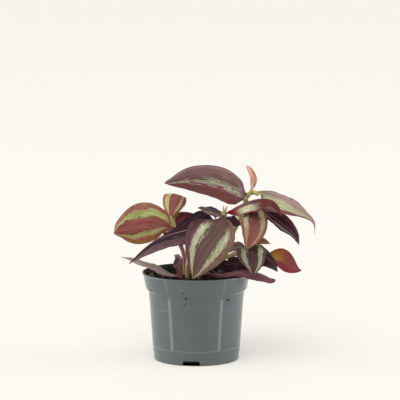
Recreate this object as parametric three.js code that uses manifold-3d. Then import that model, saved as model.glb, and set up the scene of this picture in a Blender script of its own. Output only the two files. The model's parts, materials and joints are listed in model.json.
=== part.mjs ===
// Inch plant in a round nursery pot: a handful of rooted cuttings in potting soil.
// Millimetres, +Z up. The pot stands on z = 0 with its axis on the Z axis, and the front faces -Y.
import * as THREE from "three";
import { mergeVertices } from "three/addons/utils/BufferGeometryUtils.js";
import Module from "manifold-3d";

const wasm = await Module();
wasm.setup();

// Pot
const POT_HEIGHT = 49;
const POT_SIDES = 48;
const FLOOR = 1.2;
// Outside of the pot from the foot to the lip, as [radius, height].
const POT_OUTSIDE = [
  [23.3, 0],
  [23.7, 0.5],
  [23.9, 3.6],
  [24.3, 4.6],
  [24.3, 6.0],
  [24.4, 6.6],
  [26.7, 38.4],
  [28.2, 40.0],
  [29.6, 47.4],
  [30.3, 48.2],
  [30.3, POT_HEIGHT],
];
// Inside of the pot from the lip down to the floor.
const POT_INSIDE = [
  [29.5, POT_HEIGHT],
  [29.0, 47.4],
  [27.4, 40.6],
  [25.9, 39.0],
  [23.4, 6.0],
  [22.6, FLOOR],
];
const DRAIN_COUNT = 3;
const DRAIN_WIDTH = 9.6;
const DRAIN_HEIGHT = 2.8;
const DRAIN_DEPTH = 14;
const DRAIN_RADIUS = 24.2;
const DRAIN_FIRST = -97;

// Soil
const SOIL_GAP = 0.3;
const SOIL_TOP = 45.4;
const SOIL_SECTORS = 36;
const SOIL_RINGS = 6;
const SOIL_EDGE = 0.35;
// Ripples of the soil's top, as [height, radians per mm along X, radians per mm along Y, shift].
const SOIL_RIPPLES = [
  [0.42, 0.37, 0.31, 1.3],
  [0.34, 0.83, -0.71, 0],
  [0.27, 0.9, 1.27, 1.6],
];

// Stems
const STEM_SIDES = 8;
const STEM_FOOT = 33;
const STEM_STEP = 4;
const STEM_GAP = 0.3;

// Leaves
const BLADE = 0.64;
const NECK_WIDTH = 1;
const TIP_WIDTH = 0.35;
const FLAT_WIDTH = 2.5;
const WAVE_SHIFT = 2.1;
const SHEATH_LENGTH = 2.4;
const SHEATH_WALL = 0.65;
const BORE_REACH = 3.5;

// What a leaf has unless its own entry says otherwise: how its outline swells at the base and how each
// half narrows to the point, how much of it is neck, how far the margin is swept back, how much its rows
// follow the line from base to tip rather than the midrib's bends, the height and the number of the
// margin's waves, and its rows along and columns across each half.
const PLAIN_LEAF = {
  base: 0.55, point: [1.05, 1.05], neck: 0.05, sweep: 0.1, fan: 0, wave: 0.5, waves: 2.3, rows: 10,
  columns: 3, color: 0x77555a,
};

// Each stem: its path from the soil to its last node and its radius at both ends.
const STEMS = {
  left: {
    path: [
      [-4.4, 5, STEM_FOOT], [-6.2, 4, 46], [-7, 4, 57.2], [-8.8, 4, 63.3], [-11.4, 3.5, 70.8],
      [-13.9, 2, 77.5],
    ],
    radius: [1.3, 1.1], color: 0x8a5a48,
  },
  centre: {
    path: [
      [-4.2, -1, STEM_FOOT], [-5, -1.4, 47], [-4.4, -2, 54.5], [0, -1, 61], [8, 2, 69],
      [12.6, 1.5, 76], [14.9, -4, 81.2], [15.3, -9, 82.8],
    ],
    radius: [1.3, 1.1], color: 0x9a8a5c,
  },
  tall: {
    path: [
      [3, 8, STEM_FOOT], [4.5, 8, 46], [12, 10, 57], [19, 10, 66], [23.5, 9, 75.5], [26.5, 6, 84.4],
      [28.4, 4, 90.9], [31.2, 2.5, 93.2], [34.2, 1, 92.6],
    ],
    radius: [1.3, 0.9], color: 0x9a8a5c,
    branch: { path: [[25.6, 7.6, 80.5], [29, 5, 82.5], [34.6, 0.5, 84]], radius: [1, 0.9] },
  },
  low: {
    path: [
      [-2, -2, STEM_FOOT], [-0.5, -3, 46.5], [3, -4, 51], [7.5, -5, 54.2], [12, -5, 56.2],
      [16.4, -5, 57.8], [22.2, -4.4, 60], [27.7, -5, 62.5], [32.1, -6, 64.3],
    ],
    radius: [1.3, 1.1], color: 0xa9a35c,
  },
  right: {
    path: [[15, 8, STEM_FOOT], [17, 9, 45], [23, 11, 51], [30, 12, 54.4], [35.5, 11, 56]],
    radius: [1.2, 1], color: 0x8a7a50,
  },
  back: {
    path: [[1, 13, STEM_FOOT], [2, 14, 46], [6, 17, 57], [9.5, 19, 66.5]],
    radius: [1.3, 1], color: 0x8a7a50,
  },
  rim_left: {
    path: [[-7, -5, STEM_FOOT], [-8.6, -6.8, 44], [-9.6, -7.8, 51.8]],
    radius: [1.2, 1], color: 0x8a5a48,
  },
  rim_front: {
    path: [[3, -11, STEM_FOOT], [2.2, -13.5, 44], [2, -16, 49.2]],
    radius: [1.2, 1], color: 0x7a4a55,
  },
};

// Each leaf: its stem, how far its sheath is from that stem's end, its midrib from base to tip, the
// direction its upper side faces at base and tip, the widths of its left and right halves, and for each
// half the angle at the midrib and at the margin, in degrees above flat.
const LEAVES = {
  leaf_top: {
    stem: "tall", back: 8.1, base: 0.62, point: [0.95, 1.05], neck: 0.05, sweep: 0.15, fan: 0.65,
    rib: [
      [26.8, 2, 94.2], [24.6, 0.5, 100.4], [16.2, -2, 106.9], [4.9, -4, 109], [-6.1, -5, 107],
      [-17.7, -8, 99.6],
    ],
    face: [[0.3, -0.62, 0.75], [-0.1, -0.62, 0.77]],
    half: [18.5, 13], left: [-22, -48], right: [-42, -66],
  },
  leaf_left: {
    stem: "left", back: 6.1, base: 0.95, point: [0.78, 0.95], neck: 0.12, fan: 0.3, color: 0x8f8a5c,
    rib: [[-15.1, -1.6, 74.6], [-20, -2.5, 76.8], [-30, -4.5, 76.3], [-41, -8, 74.2], [-45.6, -10.5, 72]],
    face: [[0, -1, 0.25], [-0.1, -1, 0.2]],
    half: [10.9, 12.1], left: [10, -12], right: [10, -15],
  },
  leaf_left_young: {
    stem: "left", back: 1.2, base: 0.9, point: [0.7, 0.7], neck: 0.1, rows: 8, columns: 2,
    color: 0x9a9456,
    rib: [[-14.1, 2.9, 80.2], [-13.1, 4.9, 84.9], [-10.8, 10, 90.4], [-8.3, 17, 88.4]],
    face: [[0, -1, 0.2], [0.1, 0.2, 1]],
    half: [7, 6.4], left: [10, -15], right: [-5, -30],
  },
  leaf_left_inner: {
    stem: "left", back: 10.5, base: 0.9, neck: 0.14, fan: 0.6, rows: 8, columns: 2, color: 0x7a3a40,
    rib: [[-8.4, 7, 73.6], [-5.6, 8.8, 78], [-1, 11.8, 79.8]],
    face: [[0, -0.8, 0.55], [0, -0.8, 0.55]],
    half: [6.8, 5], left: [15, -15], right: [10, -15],
  },
  leaf_long: {
    stem: "centre", back: 15.4, base: 0.6, point: [0.9, 4.2], neck: 0.08, color: 0x5a4550,
    rib: [
      [9, -2.3, 77.8], [4, -4.4, 76], [-1.5, -6.5, 74.3], [-8, -9.8, 73], [-14.9, -13.3, 71.6],
      [-22.2, -17, 69.3], [-29.3, -20.5, 64.5], [-36.9, -24, 57.2],
    ],
    face: [[0, -0.55, 0.85], [-0.4, -0.3, 1]],
    half: [10.8, 11.6], left: [-5, -25], right: [10, 0],
  },
  leaf_small: {
    stem: "centre", back: 4.8, base: 0.5, rows: 7, columns: 2,
    rib: [[11, -3.4, 83.4], [6, -6, 85], [0.6, -9.2, 86.2]],
    face: [[0.2, -0.5, 0.85], [0.3, -0.5, 0.85]],
    half: [5.6, 4.2], left: [0, -20], right: [-12, -22],
  },
  leaf_front: {
    stem: "centre", back: 1.4, base: 0.65, point: [0.78, 1.15], neck: 0.09,
    rib: [[14.6, -13.2, 78.6], [11.6, -18, 74], [6.8, -23, 67.6], [1.4, -27.6, 58.8], [-2.2, -29.4, 50]],
    face: [[0, -0.6, 0.8], [-0.1, -1, 0.2]],
    half: [12, 16.2], left: [12, -26], right: [12, -22],
  },
  leaf_right: {
    stem: "centre", back: 8.3, base: 0.8, neck: 0.08,
    rib: [
      [18.5, -2.5, 83.4], [26, -6, 88.1], [34, -12, 91.4], [41, -17, 91.6], [45, -19, 88.1],
      [46.6, -20, 83],
    ],
    face: [[-0.2, -0.3, 1], [0.6, -0.5, 0.5]],
    half: [6.5, 7.5], left: [-40, -55], right: [-30, -55],
  },
  leaf_dusk: {
    stem: "centre", back: 11.8, base: 0.8, rows: 7, columns: 2, color: 0x432a3c,
    rib: [[17, 1, 77.8], [20.5, 0, 77.6], [25.2, -1, 75.2]],
    face: [[0, -0.4, 0.9], [0.3, -0.4, 0.9]],
    half: [5.5, 6.5], left: [0, -10], right: [-10, -30],
  },
  leaf_tailed: {
    stem: "tall", back: 1.3, base: 0.8, point: [2, 2],
    rib: [
      [36.8, 3, 92.7], [42, 2, 92], [49.5, -1.5, 89.8], [57.5, -5.5, 85.2], [63, -8, 80.6],
      [65.3, -9, 76.6], [65.2, -9.4, 72],
    ],
    face: [[0.1, -0.5, 0.85], [0.4, -0.5, 0.7]],
    half: [9, 11.5], left: [-20, -30], right: [-10, -35],
  },
  leaf_upright: {
    stem: "tall", back: 4.8, base: 0.9, neck: 0.15, rows: 8, columns: 2, color: 0xa48a6c,
    rib: [[31, 2.3, 96], [31.6, 2, 100], [30.2, 1, 104.7], [27.4, 0, 108.8]],
    face: [[-0.1, -1, 0.1], [-0.1, -1, 0.3]],
    half: [2.5, 3.3], left: [60, 45], right: [60, 35],
  },
  leaf_dark: {
    stem: "branch", back: 1.2, base: 0.75, color: 0x4a2c40,
    rib: [[37.5, 0.5, 83.4], [41.5, 0, 80.4], [47.5, -1, 76], [53.6, -3.5, 70.9], [57, -5, 64.7]],
    face: [[-0.1, -0.5, 0.85], [0.3, -0.8, 0.5]],
    half: [6.2, 4], left: [10, -15], right: [10, -15],
  },
  leaf_hanging: {
    stem: "branch", back: 6.6, base: 0.8, point: [0.9, 0.85], neck: 0.12,
    rib: [[29.6, -1.5, 83], [32.4, -7, 81.4], [32.3, -11.5, 75], [30.4, -14, 69.4], [27.9, -15.5, 64.2]],
    face: [[0, -0.8, 0.5], [0, -1, 0.1]],
    half: [6.8, 8.4], left: [15, -15], right: [15, -15],
  },
  leaf_low_front: {
    stem: "low", back: 1.3, base: 0.55, point: [0.9, 0.9], rows: 8, columns: 2,
    rib: [[31.6, -10, 64], [31.2, -15.5, 61.2], [31.6, -20.5, 56], [31.2, -23.5, 50.8]],
    face: [[0, -0.7, 0.7], [0, -1, 0.1]],
    half: [7.6, 9.2], left: [15, -20], right: [15, -20],
  },
  leaf_low_tiny: {
    stem: "low", back: 4.9, base: 0.8, neck: 0.18, rows: 6, columns: 2,
    rib: [[29.5, 0.6, 64.2], [35.5, -1.4, 65.2], [41, -4, 65.3]],
    face: [[0, -0.5, 0.9], [0, -0.5, 0.9]],
    half: [5, 3], left: [20, 20], right: [20, 20],
  },
  leaf_low_right: {
    stem: "low", back: 11.9, base: 0.7, point: [1.15, 0.8], neck: 0.12, rows: 8, columns: 2,
    color: 0x3f2638,
    rib: [[26.8, 0.4, 57], [33.5, 3, 58.6], [39.5, 3, 56.2], [43.3, 2.5, 52.4], [45.4, 2, 48.5]],
    face: [[0.3, -0.5, 0.8], [0.8, -0.6, 0.3]],
    half: [7, 9], left: [5, -15], right: [5, -20],
  },
  leaf_low_hump: {
    stem: "low", back: 8.4, base: 0.9, neck: 0.14, rows: 8, columns: 2, color: 0x7a5868,
    rib: [[25.2, -1.6, 63.7], [20, 1, 63.8], [12, 1.5, 60.4]],
    face: [[0, -0.4, 0.9], [-0.3, -0.6, 0.8]],
    half: [4.6, 4], left: [-10, -26], right: [-10, -30],
  },
  leaf_low_shaded: {
    stem: "low", back: 19.5, base: 0.7, rows: 8, columns: 2, color: 0x3a2432,
    rib: [[16.5, -7.5, 54.2], [23, -8.5, 54.6], [32, -8.5, 53]],
    face: [[0, -0.8, 0.5], [0, -0.8, 0.5]],
    half: [4.3, 5.2], left: [10, -10], right: [10, -10],
  },
  leaf_far_right: {
    stem: "right", back: 1.3, base: 2, point: [2.1, 0.9], rows: 8, columns: 2, color: 0x9a5a3c,
    rib: [[40.5, 9.5, 55], [49.5, 7, 53.2], [59, 4, 48.8]],
    face: [[-0.2, -0.9, 0.3], [-0.2, -0.9, 0.3]],
    half: [6.9, 5.1], left: [5, -10], right: [5, -10],
  },
  leaf_rim_right: {
    stem: "rim_front", back: 1.3, base: 0.8, point: [0.5, 0.45], wave: 0.8, waves: 2, color: 0x5a3044,
    rib: [
      [5, -18.5, 51], [14, -18.2, 50.7], [24, -16, 51.8], [31.5, -15, 50.9], [37.4, -13.8, 48.8],
      [41, -13, 46.8], [43.8, -13, 46],
    ],
    face: [[0, -0.3, 1], [0.2, -0.85, 0.7]],
    half: [4.6, 5.6], left: [-35, -50], right: [16, 2],
  },
  leaf_rim_left: {
    stem: "rim_left", back: 4.4, base: 0.8,
    rib: [
      [-13, -9.5, 48.6], [-16.6, -11, 50.5], [-20.8, -12.5, 52.8], [-27, -13.4, 55.6],
      [-34, -14.2, 57.8], [-41.4, -15, 59.6],
    ],
    face: [[0.3, -0.4, 0.85], [0, -0.4, 0.9]],
    half: [3.3, 3.3], left: [-10, -25], right: [-10, -20],
  },
  leaf_rolled: {
    stem: "rim_left", back: 1.3, base: 0.6, fan: 0.5, rows: 8, columns: 2, color: 0x5a3040,
    rib: [
      [-9.6, -6.4, 52], [-9.8, -5.8, 53.6], [-9.6, -4.8, 55.8], [-10.5, -3.8, 58], [-12.4, -3.2, 58.8],
    ],
    face: [[0, -1, 0.2], [-0.3, -0.8, 0.6]],
    half: [4.4, 4.4], left: [45, 62], right: [45, 62],
  },
  leaf_back_left: {
    stem: "left", back: 14.6, rows: 8, columns: 2,
    rib: [[-12.5, 10, 68.8], [-21, 16, 71], [-31, 22, 66.5]],
    face: [[0, 0.1, 1], [-0.3, 0.2, 1]],
    half: [8, 8], left: [15, -15], right: [15, -15],
  },
  leaf_back_top: {
    stem: "tall", back: 11.6, base: 1.2, neck: 0.15, rows: 8, columns: 2,
    rib: [[23.5, 10.5, 91.5], [18, 17.5, 95], [11, 26, 94]],
    face: [[0, -0.3, 1], [0, 0.3, 1]],
    half: [7, 7], left: [15, -15], right: [15, -15],
  },
  leaf_back_right: {
    stem: "tall", back: 26, base: 0.8, neck: 0.1, rows: 8, columns: 2,
    rib: [[28, 14, 77.5], [36, 23, 80], [42, 31, 77.5]],
    face: [[0, -0.1, 1], [0.3, 0.3, 1]],
    half: [9, 9], left: [15, -15], right: [15, -15],
  },
  leaf_back_low: {
    stem: "right", back: 6.5, neck: 0.12, rows: 8, columns: 2,
    rib: [[28.5, 17, 55.5], [30, 26, 56.5], [29, 36, 52]],
    face: [[0, -0.1, 1], [0, 0.4, 1]],
    half: [8, 8], left: [15, -15], right: [15, -15],
  },
  leaf_back_shoot_left: {
    stem: "back", back: 1.3, base: 0.8, neck: 0.1, rows: 8, columns: 2,
    rib: [[4, 23, 70], [-6, 28, 73.5], [-17, 31, 73]],
    face: [[0, 0, 1], [-0.3, 0.2, 1]],
    half: [8, 7], left: [10, -15], right: [10, -15],
  },
  leaf_back_shoot_right: {
    stem: "back", back: 4.7, base: 0.8, rows: 8, columns: 2,
    rib: [[12.5, 23, 64], [15, 29, 66.5], [16, 36, 65]],
    face: [[0, 0, 1], [0.3, 0.3, 1]],
    half: [6.5, 6], left: [10, -15], right: [10, -15],
  },
  leaf_back_shoot_low: {
    stem: "back", back: 12, rows: 8, columns: 2,
    rib: [[8.5, 23, 59.5], [8, 32, 60], [8, 40, 54]],
    face: [[0, -0.1, 1], [0, 0.6, 1]],
    half: [8, 8], left: [15, -15], right: [15, -15],
  },
};

// Turns a three.js geometry into a solid.
function solid(geometry) {
  const plain = geometry.clone();
  plain.deleteAttribute("normal");
  plain.deleteAttribute("uv");
  const merged = mergeVertices(plain, 1e-4);
  return new wasm.Manifold(
    new wasm.Mesh({
      numProp: 3,
      vertProperties: new Float32Array(merged.attributes.position.array),
      triVerts: new Uint32Array(merged.index.array),
    }),
  );
}

// Turns a solid back into a named mesh.
function part(name, body, color, roughness) {
  const mesh = body.getMesh();
  const geometry = new THREE.BufferGeometry();
  const points = new Float32Array(mesh.vertProperties);
  geometry.setAttribute("position", new THREE.BufferAttribute(points, 3));
  geometry.setIndex(new THREE.BufferAttribute(new Uint32Array(mesh.triVerts), 1));
  geometry.computeVertexNormals();
  const made = new THREE.Mesh(geometry, new THREE.MeshStandardMaterial({ color, roughness }));
  made.name = name;
  return made;
}

// A closed surface from points and triangles.
function surface(points, faces) {
  const geometry = new THREE.BufferGeometry();
  const places = points.flatMap((point) => point.toArray());
  geometry.setAttribute("position", new THREE.Float32BufferAttribute(places, 3));
  geometry.setIndex(faces.flat());
  return geometry;
}

function vector(point) {
  return new THREE.Vector3(...point);
}

function smoothCurve(points) {
  return new THREE.CatmullRomCurve3(points.map(vector), false, "catmullrom", 0.5);
}

// A round bar through rings at the given shares of a curve's length, with a radius at each share.
function bar(curve, shares, sides, radius) {
  const points = [];
  const faces = [];
  const side = new THREE.Vector3(1, 0, 0);
  for (const share of shares) {
    const inside = THREE.MathUtils.clamp(share, 0, 1);
    const along = curve.getTangentAt(inside);
    const middle = curve.getPointAt(inside).addScaledVector(along, (share - inside) * curve.getLength());
    const u = side.clone().addScaledVector(along, -side.dot(along)).normalize();
    const v = new THREE.Vector3().crossVectors(along, u);
    for (let k = 0; k < sides; k += 1) {
      const turn = (2 * Math.PI * k) / sides;
      const out = u.clone().multiplyScalar(Math.cos(turn)).addScaledVector(v, Math.sin(turn));
      points.push(middle.clone().addScaledVector(out, radius(inside)));
    }
  }
  const last = (shares.length - 1) * sides;
  for (let a = 0; a < last; a += 1) {
    const b = (a + 1) % sides === 0 ? a + 1 - sides : a + 1;
    faces.push([a, b, b + sides], [a, b + sides, a + sides]);
  }
  for (let k = 1; k < sides - 1; k += 1) {
    faces.push([0, k + 1, k], [last, last + k, last + k + 1]);
  }
  return solid(surface(points, faces));
}

const stemCurves = {};
for (const [name, stem] of Object.entries(STEMS)) {
  stemCurves[name] = { curve: smoothCurve(stem.path), radius: stem.radius };
  if (stem.branch) {
    stemCurves.branch = { curve: smoothCurve(stem.branch.path), radius: stem.branch.radius };
  }
}

function stemRadius(stem, share) {
  return THREE.MathUtils.lerp(stem.radius[0], stem.radius[1], share);
}

// The stem's own rings that reach from one share of its length to another.
function stemBar(stem, from, to, extra) {
  const steps = Math.ceil(stem.curve.getLength() / STEM_STEP);
  const first = Math.max(0, Math.floor(from * steps));
  const last = Math.min(steps, Math.ceil(to * steps));
  const shares = [];
  if (extra > 0 && first === 0) {
    shares.push(-extra / stem.curve.getLength());
  }
  for (let i = first; i <= last; i += 1) {
    shares.push(i / steps);
  }
  if (extra > 0 && last === steps) {
    shares.push(1 + extra / stem.curve.getLength());
  }
  return bar(stem.curve, shares, STEM_SIDES, (share) => stemRadius(stem, share) + extra);
}

// Half width of a blade at a share of its length, as a share of the widest place.
function outline(share, leaf, side) {
  const { base, neck } = leaf;
  const point = leaf.point[side];
  const along = Math.max(share - neck, 0) / (1 - neck);
  const widest = base / (base + point);
  const top = widest ** base * (1 - widest) ** point;
  return (along ** base * (1 - along) ** point) / top;
}

// One half of a cross section: how far out and up a place on it lies, for a half of width 1.
function section(place, [inner, outer]) {
  const a = THREE.MathUtils.degToRad(inner);
  const b = THREE.MathUtils.degToRad(outer);
  if (Math.abs(b - a) < 1e-4) {
    return [place * Math.cos(a), place * Math.sin(a)];
  }
  const angle = a + (b - a) * place;
  return [(Math.sin(angle) - Math.sin(a)) / (b - a), (Math.cos(a) - Math.cos(angle)) / (b - a)];
}

// A point of the blade's middle surface: share along the midrib, place across from -1 to 1.
function bladePoint(leaf, curve, share, place) {
  const chord = curve.getPointAt(1).sub(curve.getPointAt(0)).normalize();
  const along = curve.getTangentAt(share).lerp(chord, leaf.fan).normalize();
  const face = vector(leaf.face[0]).lerp(vector(leaf.face[1]), share);
  const up = face.addScaledVector(along, -face.dot(along)).normalize();
  const right = new THREE.Vector3().crossVectors(along, up);
  const side = place < 0 ? 0 : 1;
  const swell = outline(share, leaf, side);
  const width = Math.max(leaf.half[side] * swell, share < 0.5 ? NECK_WIDTH : TIP_WIDTH);
  const bend = Math.min(1, width / FLAT_WIDTH);
  const angles = (side ? leaf.right : leaf.left).map((angle) => angle * bend);
  const [out, rise] = section(Math.abs(place), angles);
  const ripple = Math.sin(2 * Math.PI * leaf.waves * share + WAVE_SHIFT * side);
  return curve
    .getPointAt(share)
    .addScaledVector(along, -leaf.sweep * width * place * place)
    .addScaledVector(right, Math.sign(place) * width * out)
    .addScaledVector(up, width * rise + leaf.wave * swell * ripple * place * place);
}

// The blade's middle surface as rows of points, closer together at the base and the tip.
function bladeGrid(leaf, curve) {
  const grid = [];
  for (let i = 0; i <= leaf.rows; i += 1) {
    const even = i / leaf.rows;
    const share = 0.5 * even + 0.5 * even * even * (3 - 2 * even);
    const row = [];
    for (let j = -leaf.columns; j <= leaf.columns; j += 1) {
      row.push(bladePoint(leaf, curve, share, j / leaf.columns));
    }
    grid.push(row);
  }
  return grid;
}

// The blade: its middle surface thickened, with both faces split into the same triangles.
function blade(leaf, curve) {
  const grid = bladeGrid(leaf, curve);
  const rows = leaf.rows;
  const columns = 2 * leaf.columns;
  const upper = [];
  const lower = [];
  for (let i = 0; i <= rows; i += 1) {
    for (let j = 0; j <= columns; j += 1) {
      const ahead = grid[Math.min(i + 1, rows)][j].clone().sub(grid[Math.max(i - 1, 0)][j]);
      const across = grid[i][Math.min(j + 1, columns)].clone().sub(grid[i][Math.max(j - 1, 0)]);
      const normal = across.cross(ahead).normalize();
      upper.push(grid[i][j].clone().addScaledVector(normal, BLADE / 2));
      lower.push(grid[i][j].clone().addScaledVector(normal, -BLADE / 2));
    }
  }
  const faces = [];
  const width = columns + 1;
  const under = upper.length;
  for (let i = 0; i < rows; i += 1) {
    for (let j = 0; j < columns; j += 1) {
      const a = i * width + j;
      const quad =
        j < leaf.columns
          ? [[a, a + 1, a + width + 1], [a, a + width + 1, a + width]]
          : [[a, a + 1, a + width], [a + 1, a + width + 1, a + width]];
      quad.forEach(([p, q, r]) => faces.push([p, q, r], [under + p, under + r, under + q]));
    }
  }
  const wall = (a, b) => faces.push([a, under + a, under + b], [a, under + b, b]);
  for (let i = 0; i < rows; i += 1) {
    wall((i + 1) * width, i * width);
    wall(i * width + columns, (i + 1) * width + columns);
  }
  for (let j = 0; j < columns; j += 1) {
    wall(j, j + 1);
    wall(rows * width + j + 1, rows * width + j);
  }
  return solid(surface([...upper, ...lower], faces));
}

// A leaf: its blade grows out of a sheath, a short sleeve closed round the stem.
function leafBody(leaf) {
  const stem = stemCurves[leaf.stem];
  const length = stem.curve.getLength();
  const middle = 1 - leaf.back / length;
  const half = SHEATH_LENGTH / 2 / length;
  const reach = BORE_REACH / length;
  const start = stem.curve.getPointAt(middle).toArray();
  const outside = (share) => stemRadius(stem, share) + STEM_GAP + SHEATH_WALL;
  const sheath = bar(stem.curve, [middle - half, middle + half], STEM_SIDES, outside);
  const bore = stemBar(stem, middle - reach, middle + reach, STEM_GAP);
  return sheath.add(blade(leaf, smoothCurve([start, ...leaf.rib]))).subtract(bore);
}

// A stem with its side branch, if it has one.
function stemBody(name) {
  const body = stemBar(stemCurves[name], 0, 1, 0);
  return STEMS[name].branch ? body.add(stemBar(stemCurves.branch, 0, 1, 0)) : body;
}

// The pot: a turned wall with a collar, and drain gaps at the foot.
function pot() {
  const profile = [[0, 0], ...POT_OUTSIDE, ...POT_INSIDE, [0, FLOOR]];
  const turned = new THREE.LatheGeometry(profile.map(([r, z]) => new THREE.Vector2(r, z)), POT_SIDES);
  turned.rotateX(Math.PI / 2);
  let body = solid(turned);
  for (let i = 0; i < DRAIN_COUNT; i += 1) {
    const gap = new THREE.BoxGeometry(DRAIN_DEPTH, DRAIN_WIDTH, 2 * DRAIN_HEIGHT);
    gap.translate(DRAIN_RADIUS, 0, 0);
    gap.rotateZ(THREE.MathUtils.degToRad(DRAIN_FIRST + (360 * i) / DRAIN_COUNT));
    body = body.subtract(solid(gap));
  }
  return body;
}

function soilHeight(r, turn) {
  const x = r * Math.cos(turn);
  const y = r * Math.sin(turn);
  return SOIL_RIPPLES.reduce((z, [h, a, b, shift]) => z + h * Math.sin(a * x + b * y + shift), SOIL_TOP);
}

// The soil: fills the pot to below the rim, with a bumpy top.
function soil() {
  const side = POT_INSIDE.slice(1).map(([r, z]) => [r - SOIL_GAP, z]);
  side[side.length - 1][1] += SOIL_GAP;
  const points = [new THREE.Vector3(0, 0, soilHeight(0, 0))];
  const faces = [];
  const edge = side[0][0] - SOIL_EDGE;
  for (let i = 1; i <= SOIL_RINGS; i += 1) {
    for (let k = 0; k < SOIL_SECTORS; k += 1) {
      const turn = (2 * Math.PI * (k + (i % 2) / 2)) / SOIL_SECTORS;
      const r = (edge * i) / SOIL_RINGS;
      points.push(new THREE.Vector3(r * Math.cos(turn), r * Math.sin(turn), soilHeight(r, turn)));
    }
  }
  const walls = side.slice(1);
  for (const [r, z] of walls) {
    for (let k = 0; k < SOIL_SECTORS; k += 1) {
      const turn = (2 * Math.PI * k) / SOIL_SECTORS;
      points.push(new THREE.Vector3(r * Math.cos(turn), r * Math.sin(turn), z));
    }
  }
  points.push(new THREE.Vector3(0, 0, side[side.length - 1][1]));
  const at = (i, k) => 1 + (i - 1) * SOIL_SECTORS + (k % SOIL_SECTORS);
  for (let k = 0; k < SOIL_SECTORS; k += 1) {
    faces.push([0, at(1, k), at(1, k + 1)]);
  }
  const rings = SOIL_RINGS + walls.length;
  for (let i = 1; i < rings; i += 1) {
    for (let k = 0; k < SOIL_SECTORS; k += 1) {
      faces.push([at(i, k), at(i + 1, k), at(i + 1, k + 1)], [at(i, k), at(i + 1, k + 1), at(i, k + 1)]);
    }
  }
  const bottom = points.length - 1;
  for (let k = 0; k < SOIL_SECTORS; k += 1) {
    faces.push([bottom, at(rings, k + 1), at(rings, k)]);
  }
  let body = solid(surface(points, faces));
  for (const stem of Object.values(stemCurves)) {
    body = body.subtract(stemBar(stem, 0, 1, STEM_GAP));
  }
  return body;
}

const plant = new THREE.Group();
plant.name = "inch_plant";
plant.add(part("pot", pot(), 0x5f686a, 0.5));
plant.add(part("potting_soil", soil(), 0x1d1916, 0.95));
for (const [name, { color }] of Object.entries(STEMS)) {
  plant.add(part("stem_" + name, stemBody(name), color, 0.5));
}
for (const [name, own] of Object.entries(LEAVES)) {
  const leaf = { ...PLAIN_LEAF, ...own };
  plant.add(part(name, leafBody(leaf), leaf.color, 0.45));
}

export default plant;
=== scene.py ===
import json
import math
import random
from types import SimpleNamespace

import bmesh
import bpy
import numpy as np
from mathutils import Euler, Matrix, Vector, noise


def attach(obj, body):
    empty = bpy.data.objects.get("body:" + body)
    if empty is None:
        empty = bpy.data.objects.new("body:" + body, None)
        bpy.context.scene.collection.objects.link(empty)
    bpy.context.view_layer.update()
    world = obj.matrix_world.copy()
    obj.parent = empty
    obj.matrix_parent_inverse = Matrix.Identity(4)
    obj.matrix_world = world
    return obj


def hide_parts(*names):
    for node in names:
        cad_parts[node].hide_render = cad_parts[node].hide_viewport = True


bl_info = {
    "name": "Potted inch plant",
    "version": (1, 0, 0),
    "blender": (4, 5, 0),
    "location": "3D View > Sidebar > Inch plant",
    "description": "Grows a striped inch plant in its nursery pot, and lights it for a studio picture",
    "category": "Add Mesh",
}

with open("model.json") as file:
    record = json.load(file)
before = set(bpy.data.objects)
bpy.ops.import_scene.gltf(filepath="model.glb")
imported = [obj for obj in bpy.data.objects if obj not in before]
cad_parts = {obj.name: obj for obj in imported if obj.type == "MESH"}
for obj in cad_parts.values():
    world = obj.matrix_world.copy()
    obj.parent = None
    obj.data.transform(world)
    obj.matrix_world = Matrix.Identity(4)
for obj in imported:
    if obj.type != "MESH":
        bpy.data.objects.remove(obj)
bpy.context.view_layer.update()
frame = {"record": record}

MM = 0.001

# Pot, in millimetres: the outside from the foot up, and the inside from the lip down, as [radius, height].
# Then the height of its floor, the radius within which its inside is darkened as dust and painted shade, its
# sides, and how round its corners are.
POT_UNDERSIDE = [[0, 0.5], [19.6, 0.5], [20.1, 0]]
POT_OUTSIDE = [
    [23.3, 0], [23.7, 0.5], [23.9, 3.6], [24.3, 4.6], [24.3, 6.0], [24.4, 6.6], [25.92, 29.6],
    [26.04, 30.0], [25.98, 30.5], [26.7, 38.4], [28.2, 40.0], [29.6, 47.4], [30.3, 48.2], [30.3, 49],
]
POT_INSIDE = [[29.5, 49], [29.0, 47.4], [27.4, 40.6], [25.9, 39.0], [23.4, 6.0], [22.6, 1.2]]
POT_FLOOR = 1.2
POT_MOUTH = 29.45
POT_SIDES = 224
POT_ROUNDING = 0.35

# Drain gaps in the foot, in millimetres: the direction of the first in degrees from +X, and the flare by
# which each half is wider below.
DRAIN_COUNT = 3
DRAIN_WIDTH = 8.8
DRAIN_HEIGHT = 2.8
DRAIN_DEPTH = 14
DRAIN_RADIUS = 24.2
DRAIN_FIRST = -97
DRAIN_FLARE = 0.9

# Painted highlights: paler streaks down the wall, painted where the pot's vertical highlights fall. Where
# the first one is to each side of their front, half its width, and how far that front is turned, in radians,
# with how much they spread per metre above their middle. The others follow every sixth of a turn.
HIGHLIGHT_FIRST = 0.565
HIGHLIGHT_HALF = 0.016
HIGHLIGHT_SHIFT = 0.021
HIGHLIGHT_LEAN = 0.9
HIGHLIGHT_MIDDLE = 0.022

# Where the pot's finish changes, in metres: the mould line's height, where a paler line is painted as its
# highlight, the heights between which the highlight streaks begin and end on the wall and begin on the
# collar, those between which the dust at the foot and the painted shade of the drain gaps end, and how far
# from the axis that painted shade ends.
MOULD_LINE = 0.008
WALL_FOOT = (0.0074, 0.0086)
WALL_TOP = (0.036, 0.0384)
COLLAR_FOOT = (0.0395, 0.042)
DUSTY_FOOT = (0.001, 0.007)
GAP_TOP = (0.003, 0.004)
GAP_REACH = (0.0218, 0.0228)

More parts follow.
